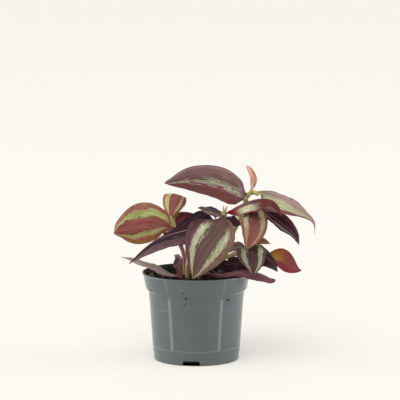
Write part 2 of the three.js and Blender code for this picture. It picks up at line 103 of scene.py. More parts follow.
# Specks of soil stuck to the outside of the pot, as [degrees round from +X, height, size].
POT_SPECKS = [
    [-104.8, 41.2, 0.5], [-102.7, 38.3, 0.75], [-104.0, 34.8, 0.6], [-48.6, 36.4, 0.62], [-49.6, 38.9, 0.35],
    [-51.0, 36.2, 0.32], [-153.8, 40.3, 0.5], [-150, 39.9, 0.3], [-107, 39.4, 0.3], [-88, 46.2, 0.22],
    [-70, 27.5, 0.2], [60, 33, 0.35], [118, 41, 0.3], [150, 22, 0.25], [20, 18, 0.25], [-128, 12.5, 0.2],
]

# Soil, in millimetres: its top, its edge, the ripples on it as [height, radians per mm along X, radians per
# mm along Y, shift], its side below the edge as [radius, height], and how finely its top is divided. Then
# how far loose lumps stay from its edge, the share of them that is bark, and the seed of their draws.
SOIL_TOP = 45.4
SOIL_EDGE = 28.0
SOIL_RIPPLES = [[0.42, 0.37, 0.31, 1.3], [0.34, 0.83, -0.71, 0], [0.27, 0.9, 1.27, 1.6]]
SOIL_SIDE = [[27.0, 40.6], [25.6, 39.0], [23.1, 6.0], [22.3, 1.5]]
SOIL_RINGS = 56
SOIL_SECTORS = 150
LUMP_MARGIN = 0.9
BARK_SHARE = 0.035
LUMP_SEED = 11

# Pale bits of bark on the soil, as [x, y, height, size].
PALE_BITS = [[-25.6, 1.0, 46.6, 1.5], [-24.0, -1.6, 46.5, 0.8], [-18.9, -4.0, 46.4, 0.8]]

# Dried scraps on the soil, as [x, y, height, degrees round, length, width, curl, twist in degrees], and how
# thick each is and how many points it has along and across.
SCRAPS = [
    [9.4, -2.0, 46.4, 20, 6, 2.2, 1.6, 30],
    [11.7, 5.0, 46.8, 160, 6.5, 1.8, 1.9, -25],
    [13.0, 10.0, 47.0, 60, 7.5, 1.6, 1.3, 40],
    [15.2, 2.0, 46.8, 95, 6, 2.4, 0.9, 20],
    [19.6, -3.0, 46.4, 5, 5.5, 2.0, 1.2, 15],
    [5.6, -8.0, 46.2, -30, 4.5, 1.8, 1.5, 35],
    [21.3, 6.0, 46.6, 150, 5, 1.9, 1.3, -30],
    [-0.1, -9.0, 46.0, 35, 4, 1.5, 1.7, 20],
    [-8.0, -14.0, 46.0, 15, 4.5, 1.6, 1.2, -20],
    [-5.4, -17.0, 46.0, 75, 4, 1.5, 1.4, 25],
]
SCRAP_THICKNESS = 0.24
SCRAP_ROWS = 13
SCRAP_COLUMNS = 5

# Stems: the height of their feet in the soil, their sides and the step between rings, then for each its
# path up to the last node and its radius at both ends, in millimetres, with how red it is along its length.
# NODE_SWELL is how much the radius swells at each node.
STEM_FOOT = 33
STEM_SIDES = 20
STEM_STEP = 0.7
NODE_SWELL = 0.14
STEMS = {
    "left": dict(
        path=[[-4.4, 5, STEM_FOOT], [-6.2, 4, 46], [-7, 4, 57.2], [-8.8, 4, 63.3], [-11.4, 3.5, 70.8],
              [-13.9, 2, 77.5]],
        radius=[1.3, 1.1], blush=[0.5, 0.6, 0.8, 0.15], slot="stem_red"),
    "centre": dict(
        path=[[-4.2, -1, STEM_FOOT], [-5, -1.4, 47], [-4.4, -2, 54.5], [0, -1, 61], [8, 2, 69],
              [12.6, 1.5, 76], [14.9, -4, 81.2], [15.3, -9, 82.8]],
        radius=[1.3, 1.1], blush=[0.1, 0.1, 0.6, 0.45], slot="stem_green"),
    "tall": dict(
        path=[[3, 8, STEM_FOOT], [4.5, 8, 46], [12, 10, 57], [19, 10, 66], [23.5, 9, 75.5],
              [26.5, 6, 84.4], [28.4, 4, 90.9], [31.2, 2.5, 93.2], [34.2, 1, 92.6]],
        radius=[1.3, 0.9], blush=[0.6, 0.5, 0.35, 0.0], slot="stem_green"),
    "branch": dict(
        path=[[25.6, 7.6, 80.5], [29, 5, 82.5], [34.6, 0.5, 84]],
        radius=[1.0, 0.9], blush=[0.3, 0.5, 0.6, 0.6], slot="stem_green"),
    "low": dict(
        path=[[-2, -2, STEM_FOOT], [-0.5, -3, 46.5], [3, -4, 51], [7.5, -5, 54.2], [12, -5, 56.2],
              [16.4, -5, 57.8], [22.2, -4.4, 60], [27.7, -5, 62.5], [32.1, -6, 64.3]],
        radius=[1.3, 1.1], blush=[0.4, 0.3, 0.35, 0.5], slot="stem_green"),
    "right": dict(
        path=[[15, 8, STEM_FOOT], [17, 9, 45], [23, 11, 51], [30, 12, 54.4], [35.5, 11, 56]],
        radius=[1.2, 1.0], blush=[0.5, 0.4, 0.3, 0.4], slot="stem_green"),
    "back": dict(
        path=[[1, 13, STEM_FOOT], [2, 14, 46], [6, 17, 57], [9.5, 19, 66.5]],
        radius=[1.3, 1.0], blush=[0.3, 0.5, 0.4, 0.2], slot="stem_green"),
    "rim_left": dict(
        path=[[-7, -5, STEM_FOOT], [-8.6, -6.8, 44], [-9.6, -7.8, 51.8]],
        radius=[1.2, 1.0], blush=[0.75, 0.75, 0.75, 0.75], slot="stem_red"),
    "rim_front": dict(
        path=[[3, -11, STEM_FOOT], [2.2, -13.5, 44], [2, -16, 49.2]],
        radius=[1.2, 1.0], blush=[0.7, 0.7, 0.7, 0.7], slot="stem_red"),
}
BRANCH_OF = {"tall": "branch"}

# Small rolled leaves at a growing tip, where they show: the direction of each, its length, its width and
# how red it is. Other stems have a single one straight ahead.
LEAFLET_SIDES = 10
SHOOTS = {
    "centre": [
        [-0.2, 0.1, 1, 4.6, 2.2, 0.35], [0.5, 0.2, 0.9, 5.0, 2.0, 0.8], [-0.75, 0, 0.35, 2.6, 1.7, 0.05],
        [0.9, -0.3, 0.4, 4.2, 1.8, 0.9], [0.2, -0.8, 0.2, 2.4, 2.0, 0.05],
    ],
    "tall": [[1, -0.4, -0.1, 3.0, 1.7, 0.05], [0.5, -0.3, 0.8, 2.4, 1.5, 0.1]],
    "left": [[-0.2, -0.4, 1, 3.0, 1.9, 0.1], [0.6, -0.4, 0.6, 2.4, 1.6, 0.2]],
    "low": [[0.8, -0.5, 0.6, 3.0, 1.7, 0.3]],
}

# What a leaf has unless its own entry says otherwise. The outline swells with base and narrows with point
# in its left and right half, neck is the narrow share at the base, sweep draws the margin back, wave and
# waves are the height and number of the margin's ripples, and fan is how much the rows across follow the
# line from base to tip rather than the bends of the midrib.
PLAIN_LEAF = dict(
    base=0.55, point=[1.05, 1.05], neck=0.05, sweep=0.1, wave=0.5, waves=2.3, fan=0, look="grown",
    left=[15, -15], right=[15, -15], paint={})

# A leaf's least half width at its neck and tip, and the half width below which it bends less, in
# millimetres, and by how many degrees more its base folds up round the stem. Then how far the right
# margin's ripples are shifted, in radians, how finely a blade is divided, the number of folds in each half,
# and a sheath's size. Its outer and inner faces are given as how far outside the stem they are below, and
# how much further above. Last, its hairs.
NECK_WIDTH = 1.0
TIP_WIDTH = 0.07
FLAT_WIDTH = 2.5
BASE_FOLD = 38
WAVE_SHIFT = 2.1
LEAF_ROWS = 60
LEAF_COLUMNS = 14
FOLD_COUNT = 3
SHEATH_LENGTH = 2.9
SHEATH_SIDES = 22
SHEATH_OUTER = (0.08, 0.5)
SHEATH_INNER = (0.02, 0.36)
HAIRS = 11
HAIR_LENGTH = 0.9
HAIR_WIDTH = 0.035

# Each leaf: its stem, how far its sheath is from that stem's end, its midrib from base to tip, the
# direction its upper side faces at base and tip, the widths of its left and right halves, and for each
# half the angle at the midrib and at the margin, in degrees above flat. Lengths are in millimetres. Its look
# is one of LOOKS, and paint holds what differs from that.
LEAVES = {
    "leaf_top": dict(
        stem="tall", back=8.1, fan=0.65, base=0.62, point=[0.95, 1.05], sweep=0.15,
        rib=[[26.8, 2, 94.2], [24.6, 0.5, 100.4], [16.2, -2, 106.9], [4.9, -4, 109], [-6.1, -5, 107],
             [-17.7, -8, 99.6]],
        face=[[0.3, -0.62, 0.75], [-0.1, -0.62, 0.77]], half=[18.5, 13], left=[-22, -48], right=[-42, -66],
        paint=dict(place=[0.56, 0.56], width=0.085, margin_left=0x683A32, rib=0x9C747A, rib_place=-0.055,
                   stripe_left=0.9, stripe_right=0.3, stripe=0x8C9474, pale=0xB0B096, ragged=0.42,
                   flush=0x7C3A5C, tip_blush=0.25, tip=0x5C3848)),
    "leaf_left": dict(
        stem="left", back=6.1, look="young", fan=0.3, base=0.95, point=[0.78, 0.95], neck=0.12,
        rib=[[-15.1, -1.6, 74.6], [-20, -2.5, 76.8], [-30, -4.5, 76.3], [-41, -8, 74.2],
             [-45.6, -10.5, 72]],
        face=[[0, -1, 0.25], [-0.1, -1, 0.2]], half=[10.9, 12.1], left=[10, -12], right=[10, -15],
        paint=dict(place=[0.55, 0.5], width=[0.15, 0.2], foot=0.22, margin_left=0x86602E, stripe=0x949C5C,
                   pale=0xB8BC84, centre=0x905248, deep=0x602A2C, flush=0x94384E, blush=0.75, ragged=0.33,
                   stripe_left=0.68)),
    "leaf_left_young": dict(
        stem="left", back=1.2, look="young", base=0.9, point=[0.7, 0.7], neck=0.1,
        rib=[[-14.1, 2.9, 80.2], [-13.1, 4.9, 84.9], [-10.8, 10, 90.4], [-8.3, 17, 88.4]],
        face=[[0, -1, 0.2], [0.1, 0.2, 1]], half=[7, 6.4], left=[10, -15], right=[-5, -30],
        paint=dict(centre=0xA4625A, margin_left=0xA87E58, margin_right=0x9C6450, rib=0x9A6450,
                   stripe=0xBCBA72, pale=0xD8D09C, foot=0.2, stripe_right=0.75)),
    "leaf_left_inner": dict(
        stem="left", back=10.5, look="red", fan=0.6, base=0.9, neck=0.14,
        rib=[[-8.4, 7, 73.6], [-5.6, 8.8, 78], [-1, 11.8, 79.8]],
        face=[[0, -0.8, 0.55], [0, -0.8, 0.55]], half=[6.8, 5], right=[10, -15]),
    # Its far, right half is painted near black as the shade that falls on it.
    "leaf_long": dict(
        stem="centre", back=15.4, look="dark", base=0.6, point=[0.9, 4.2], neck=0.08,
        rib=[[9, -2.3, 77.8], [4, -4.4, 76], [-1.5, -6.5, 74.3], [-8, -9.8, 73], [-14.9, -13.3, 71.6],
             [-22.2, -17, 69.3], [-29.3, -20.5, 64.5], [-36.9, -24, 57.2]],
        face=[[0, -0.55, 0.85], [-0.4, -0.3, 1]], half=[10.8, 11.6], left=[-5, -25], right=[10, 0],
        paint=dict(place=0.5, stripe_right=0, centre=0x361C26, deep=0x140810, margin_right=0x160610,
                   margin_left=0x664C4E, stripe=0x6C5A5C, pale=0x7A6864, stripe_left=0.5, rib=0xD8BCBC)),
    "leaf_small": dict(
        stem="centre", back=4.8, look="grey", base=0.5,
        rib=[[11, -3.4, 83.4], [6, -6, 85], [0.6, -9.2, 86.2]],
        face=[[0.2, -0.5, 0.85], [0.3, -0.5, 0.85]], half=[5.6, 4.2], left=[0, -20], right=[-12, -22],
        paint=dict(margin_right=0x2E1C26, stripe_right=0.1, centre=0x6C5052)),
    "leaf_front": dict(
        stem="centre", back=1.4, base=0.65, point=[0.78, 1.15], neck=0.09,
        rib=[[14.6, -13.2, 78.6], [11.6, -18, 74], [6.8, -23, 67.6], [1.4, -27.6, 58.8], [-2.2, -29.4, 50]],
        face=[[0, -0.6, 0.8], [-0.1, -1, 0.2]], half=[12, 16.2], left=[12, -26], right=[12, -22],
        paint=dict(place=[0.52, 0.5], width=[0.15, 0.15], rib=0x5A3836, margin_right=0x4C2C34,
                   margin_left=0x705E46, centre=0x624840, deep=0x3C2628, stripe=0x98A07A, pale=0xC2C6A6,
                   tip_blush=0.15, tip=0x6A4444, foot=0.33, blush=0, ragged=0.36, flush=0x7A3450)),
    "leaf_right": dict(
        stem="centre", back=8.3, base=0.8, neck=0.08,
        rib=[[18.5, -2.5, 83.4], [26, -6, 88.1], [34, -12, 91.4], [41, -17, 91.6], [45, -19, 88.1],
             [46.6, -20, 83]],
        face=[[-0.2, -0.3, 1], [0.6, -0.5, 0.5]], half=[6.5, 7.5], left=[-40, -55], right=[-30, -55],
        paint=dict(place=[0.55, 0.66], width=[0.14, 0.25], flush=0x80182A, blush=1, foot=0.27, tip=0x5A2420,
                   margin_right=0x7A4648, margin_left=0x5A3434, centre=0x6E5250, deep=0x503438,
                   stripe=0xC0BC9C, pale=0xCEC8AA, rib=0x7A4A44, stripe_left=0.8, tip_blush=1)),
    "leaf_dusk": dict(
        stem="centre", back=11.8, look="dark", base=0.8,
        rib=[[17, 1, 77.8], [20.5, 0, 77.6], [25.2, -1, 75.2]],
        face=[[0, -0.4, 0.9], [0.3, -0.4, 0.9]], half=[5.5, 6.5], left=[0, -10], right=[-10, -30],
        paint=dict(centre=0x4E3038, deep=0x34202A, stripe_left=0.1, stripe_right=0.1)),
    "leaf_tailed": dict(
        stem="tall", back=1.3, base=0.8, point=[2, 2],
        rib=[[36.8, 3, 92.7], [42, 2, 92], [49.5, -1.5, 89.8], [57.5, -5.5, 85.2], [63, -8, 80.6],
             [65.3, -9, 76.6], [65.2, -9.4, 72]],
        face=[[0.1, -0.5, 0.85], [0.4, -0.5, 0.7]], half=[9, 11.5], left=[-20, -30], right=[-10, -35],
        paint=dict(place=[0.55, 0.5], width=[0.1, 0.28], centre=0xA68F8A, deep=0x866862,
                   margin_right=0x6E3A34, margin_left=0x7C4C44, stripe_left=0.35, stripe=0xAAAE80,
                   pale=0xC0C29A, tip=0x7C4A44, tip_blush=0.2)),
    "leaf_upright": dict(
        stem="tall", back=4.8, look="salmon", base=0.9, neck=0.15,
        rib=[[31, 2.3, 96], [31.6, 2, 100], [30.2, 1, 104.7], [27.4, 0, 108.8]],
        face=[[-0.1, -1, 0.1], [-0.1, -1, 0.3]], half=[2.5, 3.3], left=[60, 45], right=[60, 35]),
    "leaf_dark": dict(
        stem="branch", back=1.2, look="dark", base=0.75,
        rib=[[37.5, 0.5, 83.4], [41.5, 0, 80.4], [47.5, -1, 76], [53.6, -3.5, 70.9], [57, -5, 64.7]],
        face=[[-0.1, -0.5, 0.85], [0.3, -0.8, 0.5]], half=[6.2, 4], left=[10, -15], right=[10, -15],
        paint=dict(margin_left=0x5A2A36, stripe_left=0.15, stripe_right=0.9, rib=0xAA8A90, flush=0x641E3C)),
    "leaf_hanging": dict(
        stem="branch", back=6.6, look="hanging", base=0.8, point=[0.9, 0.85], neck=0.12,
        rib=[[29.6, -1.5, 83], [32.4, -7, 81.4], [32.3, -11.5, 75], [30.4, -14, 69.4], [27.9, -15.5, 64.2]],
        face=[[0, -0.8, 0.5], [0, -1, 0.1]], half=[6.8, 8.4]),
    "leaf_low_front": dict(
        stem="low", back=1.3, look="low", point=[0.9, 0.9],
        rib=[[31.6, -10, 64], [31.2, -15.5, 61.2], [31.6, -20.5, 56], [31.2, -23.5, 50.8]],
        face=[[0, -0.7, 0.7], [0, -1, 0.1]], half=[7.6, 9.2], left=[15, -20], right=[15, -20]),
    "leaf_low_tiny": dict(
        stem="low", back=4.9, look="olive", base=0.8, neck=0.18,
        rib=[[29.5, 0.6, 64.2], [35.5, -1.4, 65.2], [41, -4, 65.3]],
        face=[[0, -0.5, 0.9], [0, -0.5, 0.9]], half=[5, 3], left=[20, 20], right=[20, 20]),
    # Its purple is painted near black as the shade it lies in.
    "leaf_low_right": dict(
        stem="low", back=11.9, look="dark", base=0.7, point=[1.15, 0.8], neck=0.12,
        rib=[[26.8, 0.4, 57], [33.5, 3, 58.6], [39.5, 3, 56.2], [43.3, 2.5, 52.4], [45.4, 2, 48.5]],
        face=[[0.3, -0.5, 0.8], [0.8, -0.6, 0.3]], half=[7, 9], left=[5, -15], right=[5, -20],
        paint=dict(stripe_left=0, stripe_right=0, centre=0x2A0C16, deep=0x1C0810, margin_left=0x2A0A14,
                   margin_right=0x260A14)),
    "leaf_low_hump": dict(
        stem="low", back=8.4, look="grey", base=0.9, neck=0.14,
        rib=[[25.2, -1.6, 63.7], [20, 1, 63.8], [12, 1.5, 60.4]],
        face=[[0, -0.4, 0.9], [-0.3, -0.6, 0.8]], half=[4.6, 4], left=[-10, -26], right=[-10, -30],
        paint=dict(centre=0x7E5A58, deep=0x64444A)),
    "leaf_low_shaded": dict(
        stem="low", back=19.5, look="dark", base=0.7,
        rib=[[16.5, -7.5, 54.2], [23, -8.5, 54.6], [32, -8.5, 53]],
        face=[[0, -0.8, 0.5], [0, -0.8, 0.5]], half=[4.3, 5.2], left=[10, -10], right=[10, -10],
        paint=dict(stripe_left=0, stripe_right=0)),
    "leaf_far_right": dict(
        stem="right", back=1.3, look="blotched", base=2, point=[2.1, 0.9],
        rib=[[40.5, 9.5, 55], [49.5, 7, 53.2], [59, 4, 48.8]],
        face=[[-0.2, -0.9, 0.3], [-0.2, -0.9, 0.3]], half=[6.9, 5.1], left=[5, -10], right=[5, -10]),
    "leaf_rim_right": dict(
        stem="rim_front", back=1.3, look="dark", base=0.8, point=[0.5, 0.45], wave=0.8, waves=2,
        rib=[[5, -18.5, 51], [14, -18.2, 50.7], [24, -16, 51.8], [31.5, -15, 50.9], [37.4, -13.8, 48.8],
             [41, -13, 46.8], [43.8, -13, 46]],
        face=[[0, -0.3, 1], [0.2, -0.85, 0.7]], half=[4.6, 5.6], left=[-35, -50], right=[16, 2],
        paint=dict(centre=0x84545C, deep=0x50303A, rib=0xA07C80, margin_left=0x6A4048,
                   margin_right=0x744850, stripe_left=0.2, stripe_right=0.2)),
    "leaf_rim_left": dict(
        stem="rim_left", back=4.4, look="grey", base=0.8,
        rib=[[-13, -9.5, 48.6], [-16.6, -11, 50.5], [-20.8, -12.5, 52.8], [-27, -13.4, 55.6],
             [-34, -14.2, 57.8], [-41.4, -15, 59.6]],
        face=[[0.3, -0.4, 0.85], [0, -0.4, 0.9]], half=[3.3, 3.3], left=[-10, -25], right=[-10, -20],
        paint=dict(centre=0xA2958C, deep=0x766862, stripe=0xB0AA98, pale=0xBEB8A8, margin_left=0xA08E88,
                   margin_right=0x9A8880, flush=0x9A7078)),
    "leaf_rolled": dict(
        stem="rim_left", back=1.3, look="dark", fan=0.5, base=0.6,
        rib=[[-9.6, -6.4, 52], [-9.8, -5.8, 53.6], [-9.6, -4.8, 55.8], [-10.5, -3.8, 58],
             [-12.4, -3.2, 58.8]],
        face=[[0, -1, 0.2], [-0.3, -0.8, 0.6]], half=[4.4, 4.4], left=[45, 62], right=[45, 62],
        paint=dict(centre=0xAC9498, deep=0x86707A, margin_left=0xB49496, margin_right=0x6A4850,
                   stripe=0xB29C9C, stripe_left=0.6)),
    "leaf_back_left": dict(
        stem="left", back=14.6,
        rib=[[-12.5, 10, 68.8], [-21, 16, 71], [-31, 22, 66.5]],
        face=[[0, 0.1, 1], [-0.3, 0.2, 1]], half=[8, 8]),
    "leaf_back_top": dict(
        stem="tall", back=11.6, base=1.2, neck=0.15,
        rib=[[23.5, 10.5, 91.5], [18, 17.5, 95], [11, 26, 94]],
        face=[[0, -0.3, 1], [0, 0.3, 1]], half=[7, 7]),
    "leaf_back_right": dict(
        stem="tall", back=26, base=0.8, neck=0.1,
        rib=[[28, 14, 77.5], [36, 23, 80], [42, 31, 77.5]],
        face=[[0, -0.1, 1], [0.3, 0.3, 1]], half=[9, 9]),
    "leaf_back_low": dict(
        stem="right", back=6.5, neck=0.12,
        rib=[[28.5, 17, 55.5], [30, 26, 56.5], [29, 36, 52]],
        face=[[0, -0.1, 1], [0, 0.4, 1]], half=[8, 8]),
    "leaf_back_shoot_left": dict(
        stem="back", back=1.3, base=0.8, neck=0.1,
        rib=[[4, 23, 70], [-6, 28, 73.5], [-17, 31, 73]],
        face=[[0, 0, 1], [-0.3, 0.2, 1]], half=[8, 7], left=[10, -15], right=[10, -15]),
    "leaf_back_shoot_right": dict(
        stem="back", back=4.7, look="young", base=0.8,
        rib=[[12.5, 23, 64], [15, 29, 66.5], [16, 36, 65]],
        face=[[0, 0, 1], [0.3, 0.3, 1]], half=[6.5, 6], left=[10, -15], right=[10, -15]),
    "leaf_back_shoot_low": dict(
        stem="back", back=12,
        rib=[[8.5, 23, 59.5], [8, 32, 60], [8, 40, 54]],
        face=[[0, -0.1, 1], [0, 0.6, 1]], half=[8, 8]),
}

# How a leaf is painted: the colours as hex codes, place and width for the stripe's middle and half width
# as shares of a half blade (one for both halves, or left and right), stripe_left and stripe_right for its
# strength in each half, foot for how far along it starts, blush for how red the base is, tip_blush for how
# much of the far part has the tip's colour, and rib_place for where the midrib's line runs. A vein takes up
# VEIN_TURNS radians of the relief's wave.
LEAF_COLORS = ["centre", "deep", "stripe", "pale", "flush", "margin_left", "margin_right", "rib"]
LEAF_SHARES = ["ragged", "stripe_left", "stripe_right", "foot", "blush", "tip_blush", "rib_place"]
PLAIN_LOOK = dict(foot=0.14, tip_blush=0, rib_place=0)
VEIN_TURNS = 3.1
LOOKS = {
    "grown": dict(
        centre=0x7A5F58, deep=0x4E3432, stripe=0x98A27C, pale=0xB6B69A, flush=0x6E3450,
        margin_left=0x6C4A44, margin_right=0x6E4C42, rib=0x7C5654, under=0x4E2440, place=0.58, width=0.14,
        stripe_left=1, stripe_right=1, ragged=0.28, blush=0.4),
    "young": dict(
        centre=0x8C5248, deep=0x6A3432, stripe=0x9CA05C, pale=0xB4B686, flush=0x8E3A48,
        margin_left=0x94644A, margin_right=0x96684E, rib=0x7E4440, under=0x7A3A4E, place=0.56, width=0.16,
        stripe_left=1, stripe_right=1, ragged=0.25, blush=0.5),
    "red": dict(
        centre=0x742C2C, deep=0x561C22, stripe=0x8C8450, pale=0xA49A6A, flush=0x80303A,
        margin_left=0x96905E, margin_right=0x622A2C, rib=0x702A30, under=0x6A2438, place=0.8, width=0.15,
        stripe_left=0.9, stripe_right=0.2, ragged=0.2, blush=0.5),
    # Dark: for leaves that lie in shade, their own purple painted darker as that shade.
    "dark": dict(
        centre=0x42242E, deep=0x2A141C, stripe=0x7C6C6C, pale=0x948684, flush=0x4C2038,
        margin_left=0x3C202C, margin_right=0x321A24, rib=0x9A7680, under=0x30162A, place=0.6, width=0.14,
        stripe_left=0.45, stripe_right=0.3, ragged=0.3, blush=0.3),
    "grey": dict(
        centre=0x6A5250, deep=0x4E383A, stripe=0x8C8876, pale=0xA29C8E, flush=0x6A3C52,
        margin_left=0x745456, margin_right=0x583A40, rib=0xA2828A, under=0x42203A, place=0.58, width=0.2,
        stripe_left=0.6, stripe_right=0.6, ragged=0.3, blush=0.3),
    "hanging": dict(
        centre=0x7E5048, deep=0x5E3632, stripe=0xB6BE84, pale=0xD2D6A8, flush=0x7E3A44,
        margin_left=0x7C4C40, margin_right=0x865048, rib=0x8E5C58, under=0x5A2A44, tip=0x8A4C46, place=0.6,
        width=0.17, stripe_left=0.95, stripe_right=0.9, ragged=0.3, blush=0.5, foot=0.2, tip_blush=0.6),
    "low": dict(
        centre=0x482A2A, deep=0x382222, stripe=0x848E6C, pale=0xA4AA8A, flush=0x50283C,
        margin_left=0x5C423A, margin_right=0x5A3E36, rib=0x644846, under=0x42203A, place=0.56, width=0.18,
        stripe_left=1, stripe_right=0.75, ragged=0.32, blush=0.3),
    "olive": dict(
        centre=0xCC9662, deep=0x604630, stripe=0x8E8450, pale=0x9C945C, flush=0x84403A,
        margin_left=0xB07C54, margin_right=0xBA7258, rib=0x7C5444, under=0x6A3A40, place=0.5, width=0.25,
        stripe_left=0.6, stripe_right=0.6, ragged=0.3, blush=0.4),
    # Salmon: colours of a salmon leaf, painted paler to stand for the light shining through it from behind.
    "salmon": dict(
        centre=0xF6DAC8, deep=0xEAC4B0, stripe=0xC8B286, pale=0xC4B084, flush=0xB0606A,
        margin_left=0xE2B49C, margin_right=0xCC7A60, rib=0xC07870, under=0xB87868, place=0.5, width=0.16,
        stripe_left=0.3, stripe_right=0.5, ragged=0.3, blush=0.2),
    "blotched": dict(
        centre=0xBCA234, deep=0xA86C34, stripe=0x84303E, pale=0x9C4450, flush=0x86303E,
        margin_left=0xB8843A, margin_right=0x84383E, rib=0x9A5C3C, under=0x7A3A4A, place=0.6, width=0.4,
        stripe_left=0.1, stripe_right=0.95, ragged=0.6, blush=0.2, tip_blush=0.9),
}

# Fixed colours of the other finishes, as hex codes.
SHEATH_GREEN = 0xC2BC74
SHEATH_RED = 0x9A4A5C
SHEATH_EDGE = 0x8A4A58
STEM_FLECK = 0x7A3848
# The dark of dust on the pot, also used as its painted shade inside and in the drain gaps.
POT_DUST_AND_SHADE = 0x16120F
SOIL_LIGHT = 0x3B2E24
SOIL_DARK = 0x120E0B
SOIL_BARK = 0xA8835A

# The stage, in metres: the floor's radius, with its sides and its colours where it is cloudy and where a
# shadow is painted under the pot, the distances from the axis between which that painted shadow ends, and
# the side lights' distance, height, aim and size. Then the colour of the light from all round, the picture's
# width in pixels, the sensor's in millimetres, and how near and far the camera sees.
FLOOR_RADIUS = 9.0
FLOOR_SIDES = 96
FLOOR_CLOUD = (0.5, 0.49, 0.47, 1)
FLOOR_SHADOW = (0.004, 0.004, 0.004, 1)
FLOOR_LIT = (0.0215, 0.0245)
STRIP_REACH = 2.2
STRIP_HEIGHT = 0.3
STRIP_AIM = 0.1
STRIP_SIZE = (1.1, 0.57)
SKY_COLOR = (1.0, 0.995, 0.98, 1)
PICTURE_WIDTH = 400
SENSOR_WIDTH = 36
CAMERA_CLIP = (0.05, 50)


def linear(code):
    """A linear colour with full alpha from a hex code."""
    shares = [(code >> shift & 255) / 255 for shift in (16, 8, 0)]
    return tuple(c / 12.92 if c <= 0.04045 else ((c + 0.055) / 1.055) ** 2.4 for c in shares) + (1.0,)


def eased(value, low, high):
    """0 below low, 1 above high, and smooth between."""
    share = np.clip((value - low) / (high - low), 0, 1)
    return share * share * (3 - 2 * share)


# Curves and meshes


class Route:
    """A smooth curve through points, measured by shares of its length."""

    def __init__(self, points):
        ends = np.array(points, float)
        self.points = np.vstack([2 * ends[0] - ends[1], ends, 2 * ends[-1] - ends[-2]])
        self.spans = len(ends) - 1
        self.steps = np.linspace(0, 1, 401)
        moves = np.linalg.norm(np.diff(self.spot(self.steps), axis=0), axis=1)
        self.lengths = np.concatenate([[0], np.cumsum(moves)])
        self.length = self.lengths[-1]

    def spot(self, step):
        place = np.clip(step, 0, 1) * self.spans
        span = np.minimum(place.astype(int), self.spans - 1)
        f = (place - span)[:, None]
        a, b, c, d = (self.points[span + k] for k in range(4))
        curved = (2 * a - 5 * b + 4 * c - d) * f**2 + (3 * b - a - 3 * c + d) * f**3
        return 0.5 * (2 * b + (c - a) * f + curved)

    def step_at(self, shares):
        return np.interp(np.atleast_1d(shares) * self.length, self.lengths, self.steps)

    def places(self, shares):
        return self.spot(self.step_at(shares))

    def tangents(self, shares):
        step = self.step_at(shares)
        run = self.spot(np.minimum(step + 1e-4, 1)) - self.spot(np.maximum(step - 1e-4, 0))
        return run / np.linalg.norm(run, axis=1)[:, None]


def tube_rings(route, shares, sides, radii):
    """Rings of points round a route, one for each share, with a radius at each."""
    middle = route.places(shares)
    along = route.tangents(shares)
    side = np.array([1.0, 0, 0])
    u = side - along * (along @ side)[:, None]
    u /= np.linalg.norm(u, axis=1)[:, None]
    v = np.cross(along, u)
    turn = 2 * np.pi * np.arange(sides) / sides
    out = u[:, None] * np.cos(turn)[None, :, None] + v[:, None] * np.sin(turn)[None, :, None]
    return middle[:, None] + out * np.asarray(radii)[:, None, None]


def ring_faces(rings, sides, start=0):
    """Faces between neighbouring rings of points."""
    faces = []
    for i in range(rings - 1):
        for k in range(sides):
            a = start + i * sides + k
            b = start + i * sides + (k + 1) % sides
            faces.append((a, b, b + sides, a + sides))
    return faces


def circle(radius, height, turns):
    """Points at one height round the upright axis."""
    return [[radius * math.cos(t), radius * math.sin(t), height] for t in turns]


def sheet_faces(rows, columns):
    """Faces of a grid of points, and the points along its rim."""
    quads = []
    for i in range(rows - 1):
        for a in range(i * columns, i * columns + columns - 1):
            quads.append((a, a + 1, a + columns + 1, a + columns))
    rim = [i * columns for i in range(rows)] + [(rows - 1) * columns + j for j in range(1, columns)]
    rim += [i * columns + columns - 1 for i in range(rows - 2, -1, -1)] + list(range(columns - 2, 0, -1))
    return quads, list(zip(rim, rim[1:] + rim[:1]))


def sharpen(mesh, degrees):
    """Smooth shading, with edges sharper than the angle kept sharp."""
    mesh.polygons.foreach_set("use_smooth", [True] * len(mesh.polygons))
    work = bmesh.new()
    work.from_mesh(mesh)
    limit = math.radians(degrees)
    for edge in work.edges:
        edge.smooth = len(edge.link_faces) == 2 and edge.calc_face_angle(0) < limit
    work.to_mesh(mesh)
    work.free()


class Shape:
    """Gathers points, faces, the material of each face and values at each point for one mesh."""

    def __init__(self):
        self.points = []
        self.faces = []
        self.paints = []
        self.values = {}
        self.sheet = []

    def add(self, points, faces, paint=0, sheet=None, **values):
        start = len(self.points)
        points = np.asarray(points, float).reshape(-1, 3)
        self.points.extend(points.tolist())
        self.faces.extend(tuple(start + k for k in face) for face in faces)
        self.paints.extend([paint] * len(faces))
        flat = np.zeros((len(points), 2)) if sheet is None else np.asarray(sheet, float).reshape(-1, 2)
        self.sheet.extend(flat.tolist())
        for name in set(self.values) | set(values):
            row = self.values.setdefault(name, [0.0] * start)
            row.extend(np.broadcast_to(values.get(name, 0.0), len(points)).tolist())
        return start

    def build(self, name, materials, sharp=40):
        mesh = bpy.data.meshes.new(name)
        mesh.from_pydata((np.array(self.points) * MM).tolist(), [], self.faces)
        mesh.polygons.foreach_set("material_index", self.paints)
        corners = np.zeros(len(mesh.loops), int)
        mesh.loops.foreach_get("vertex_index", corners)
        layer = mesh.uv_layers.new(name="sheet")
        layer.data.foreach_set("uv", np.array(self.sheet)[corners].ravel())
        for label, row in self.values.items():
            mesh.attributes.new(label, "FLOAT", "POINT").data.foreach_set("value", row)
        for material in materials:
            mesh.materials.append(material)
        sharpen(mesh, sharp)
        made = bpy.data.objects.new(name, mesh)
        bpy.context.scene.collection.objects.link(made)
        return made


def settle(piece, slot, *nodes):
    """Hides the parts a piece stands for and attaches it to the root body that it moves with. The slot is not
    used.
    """
    if nodes:
        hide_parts(*nodes)
    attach(piece, "root")


# Materials


def titled(name):
    """A socket's name as it is shown, from a name in the script."""
    return name.replace("_", " ").capitalize()


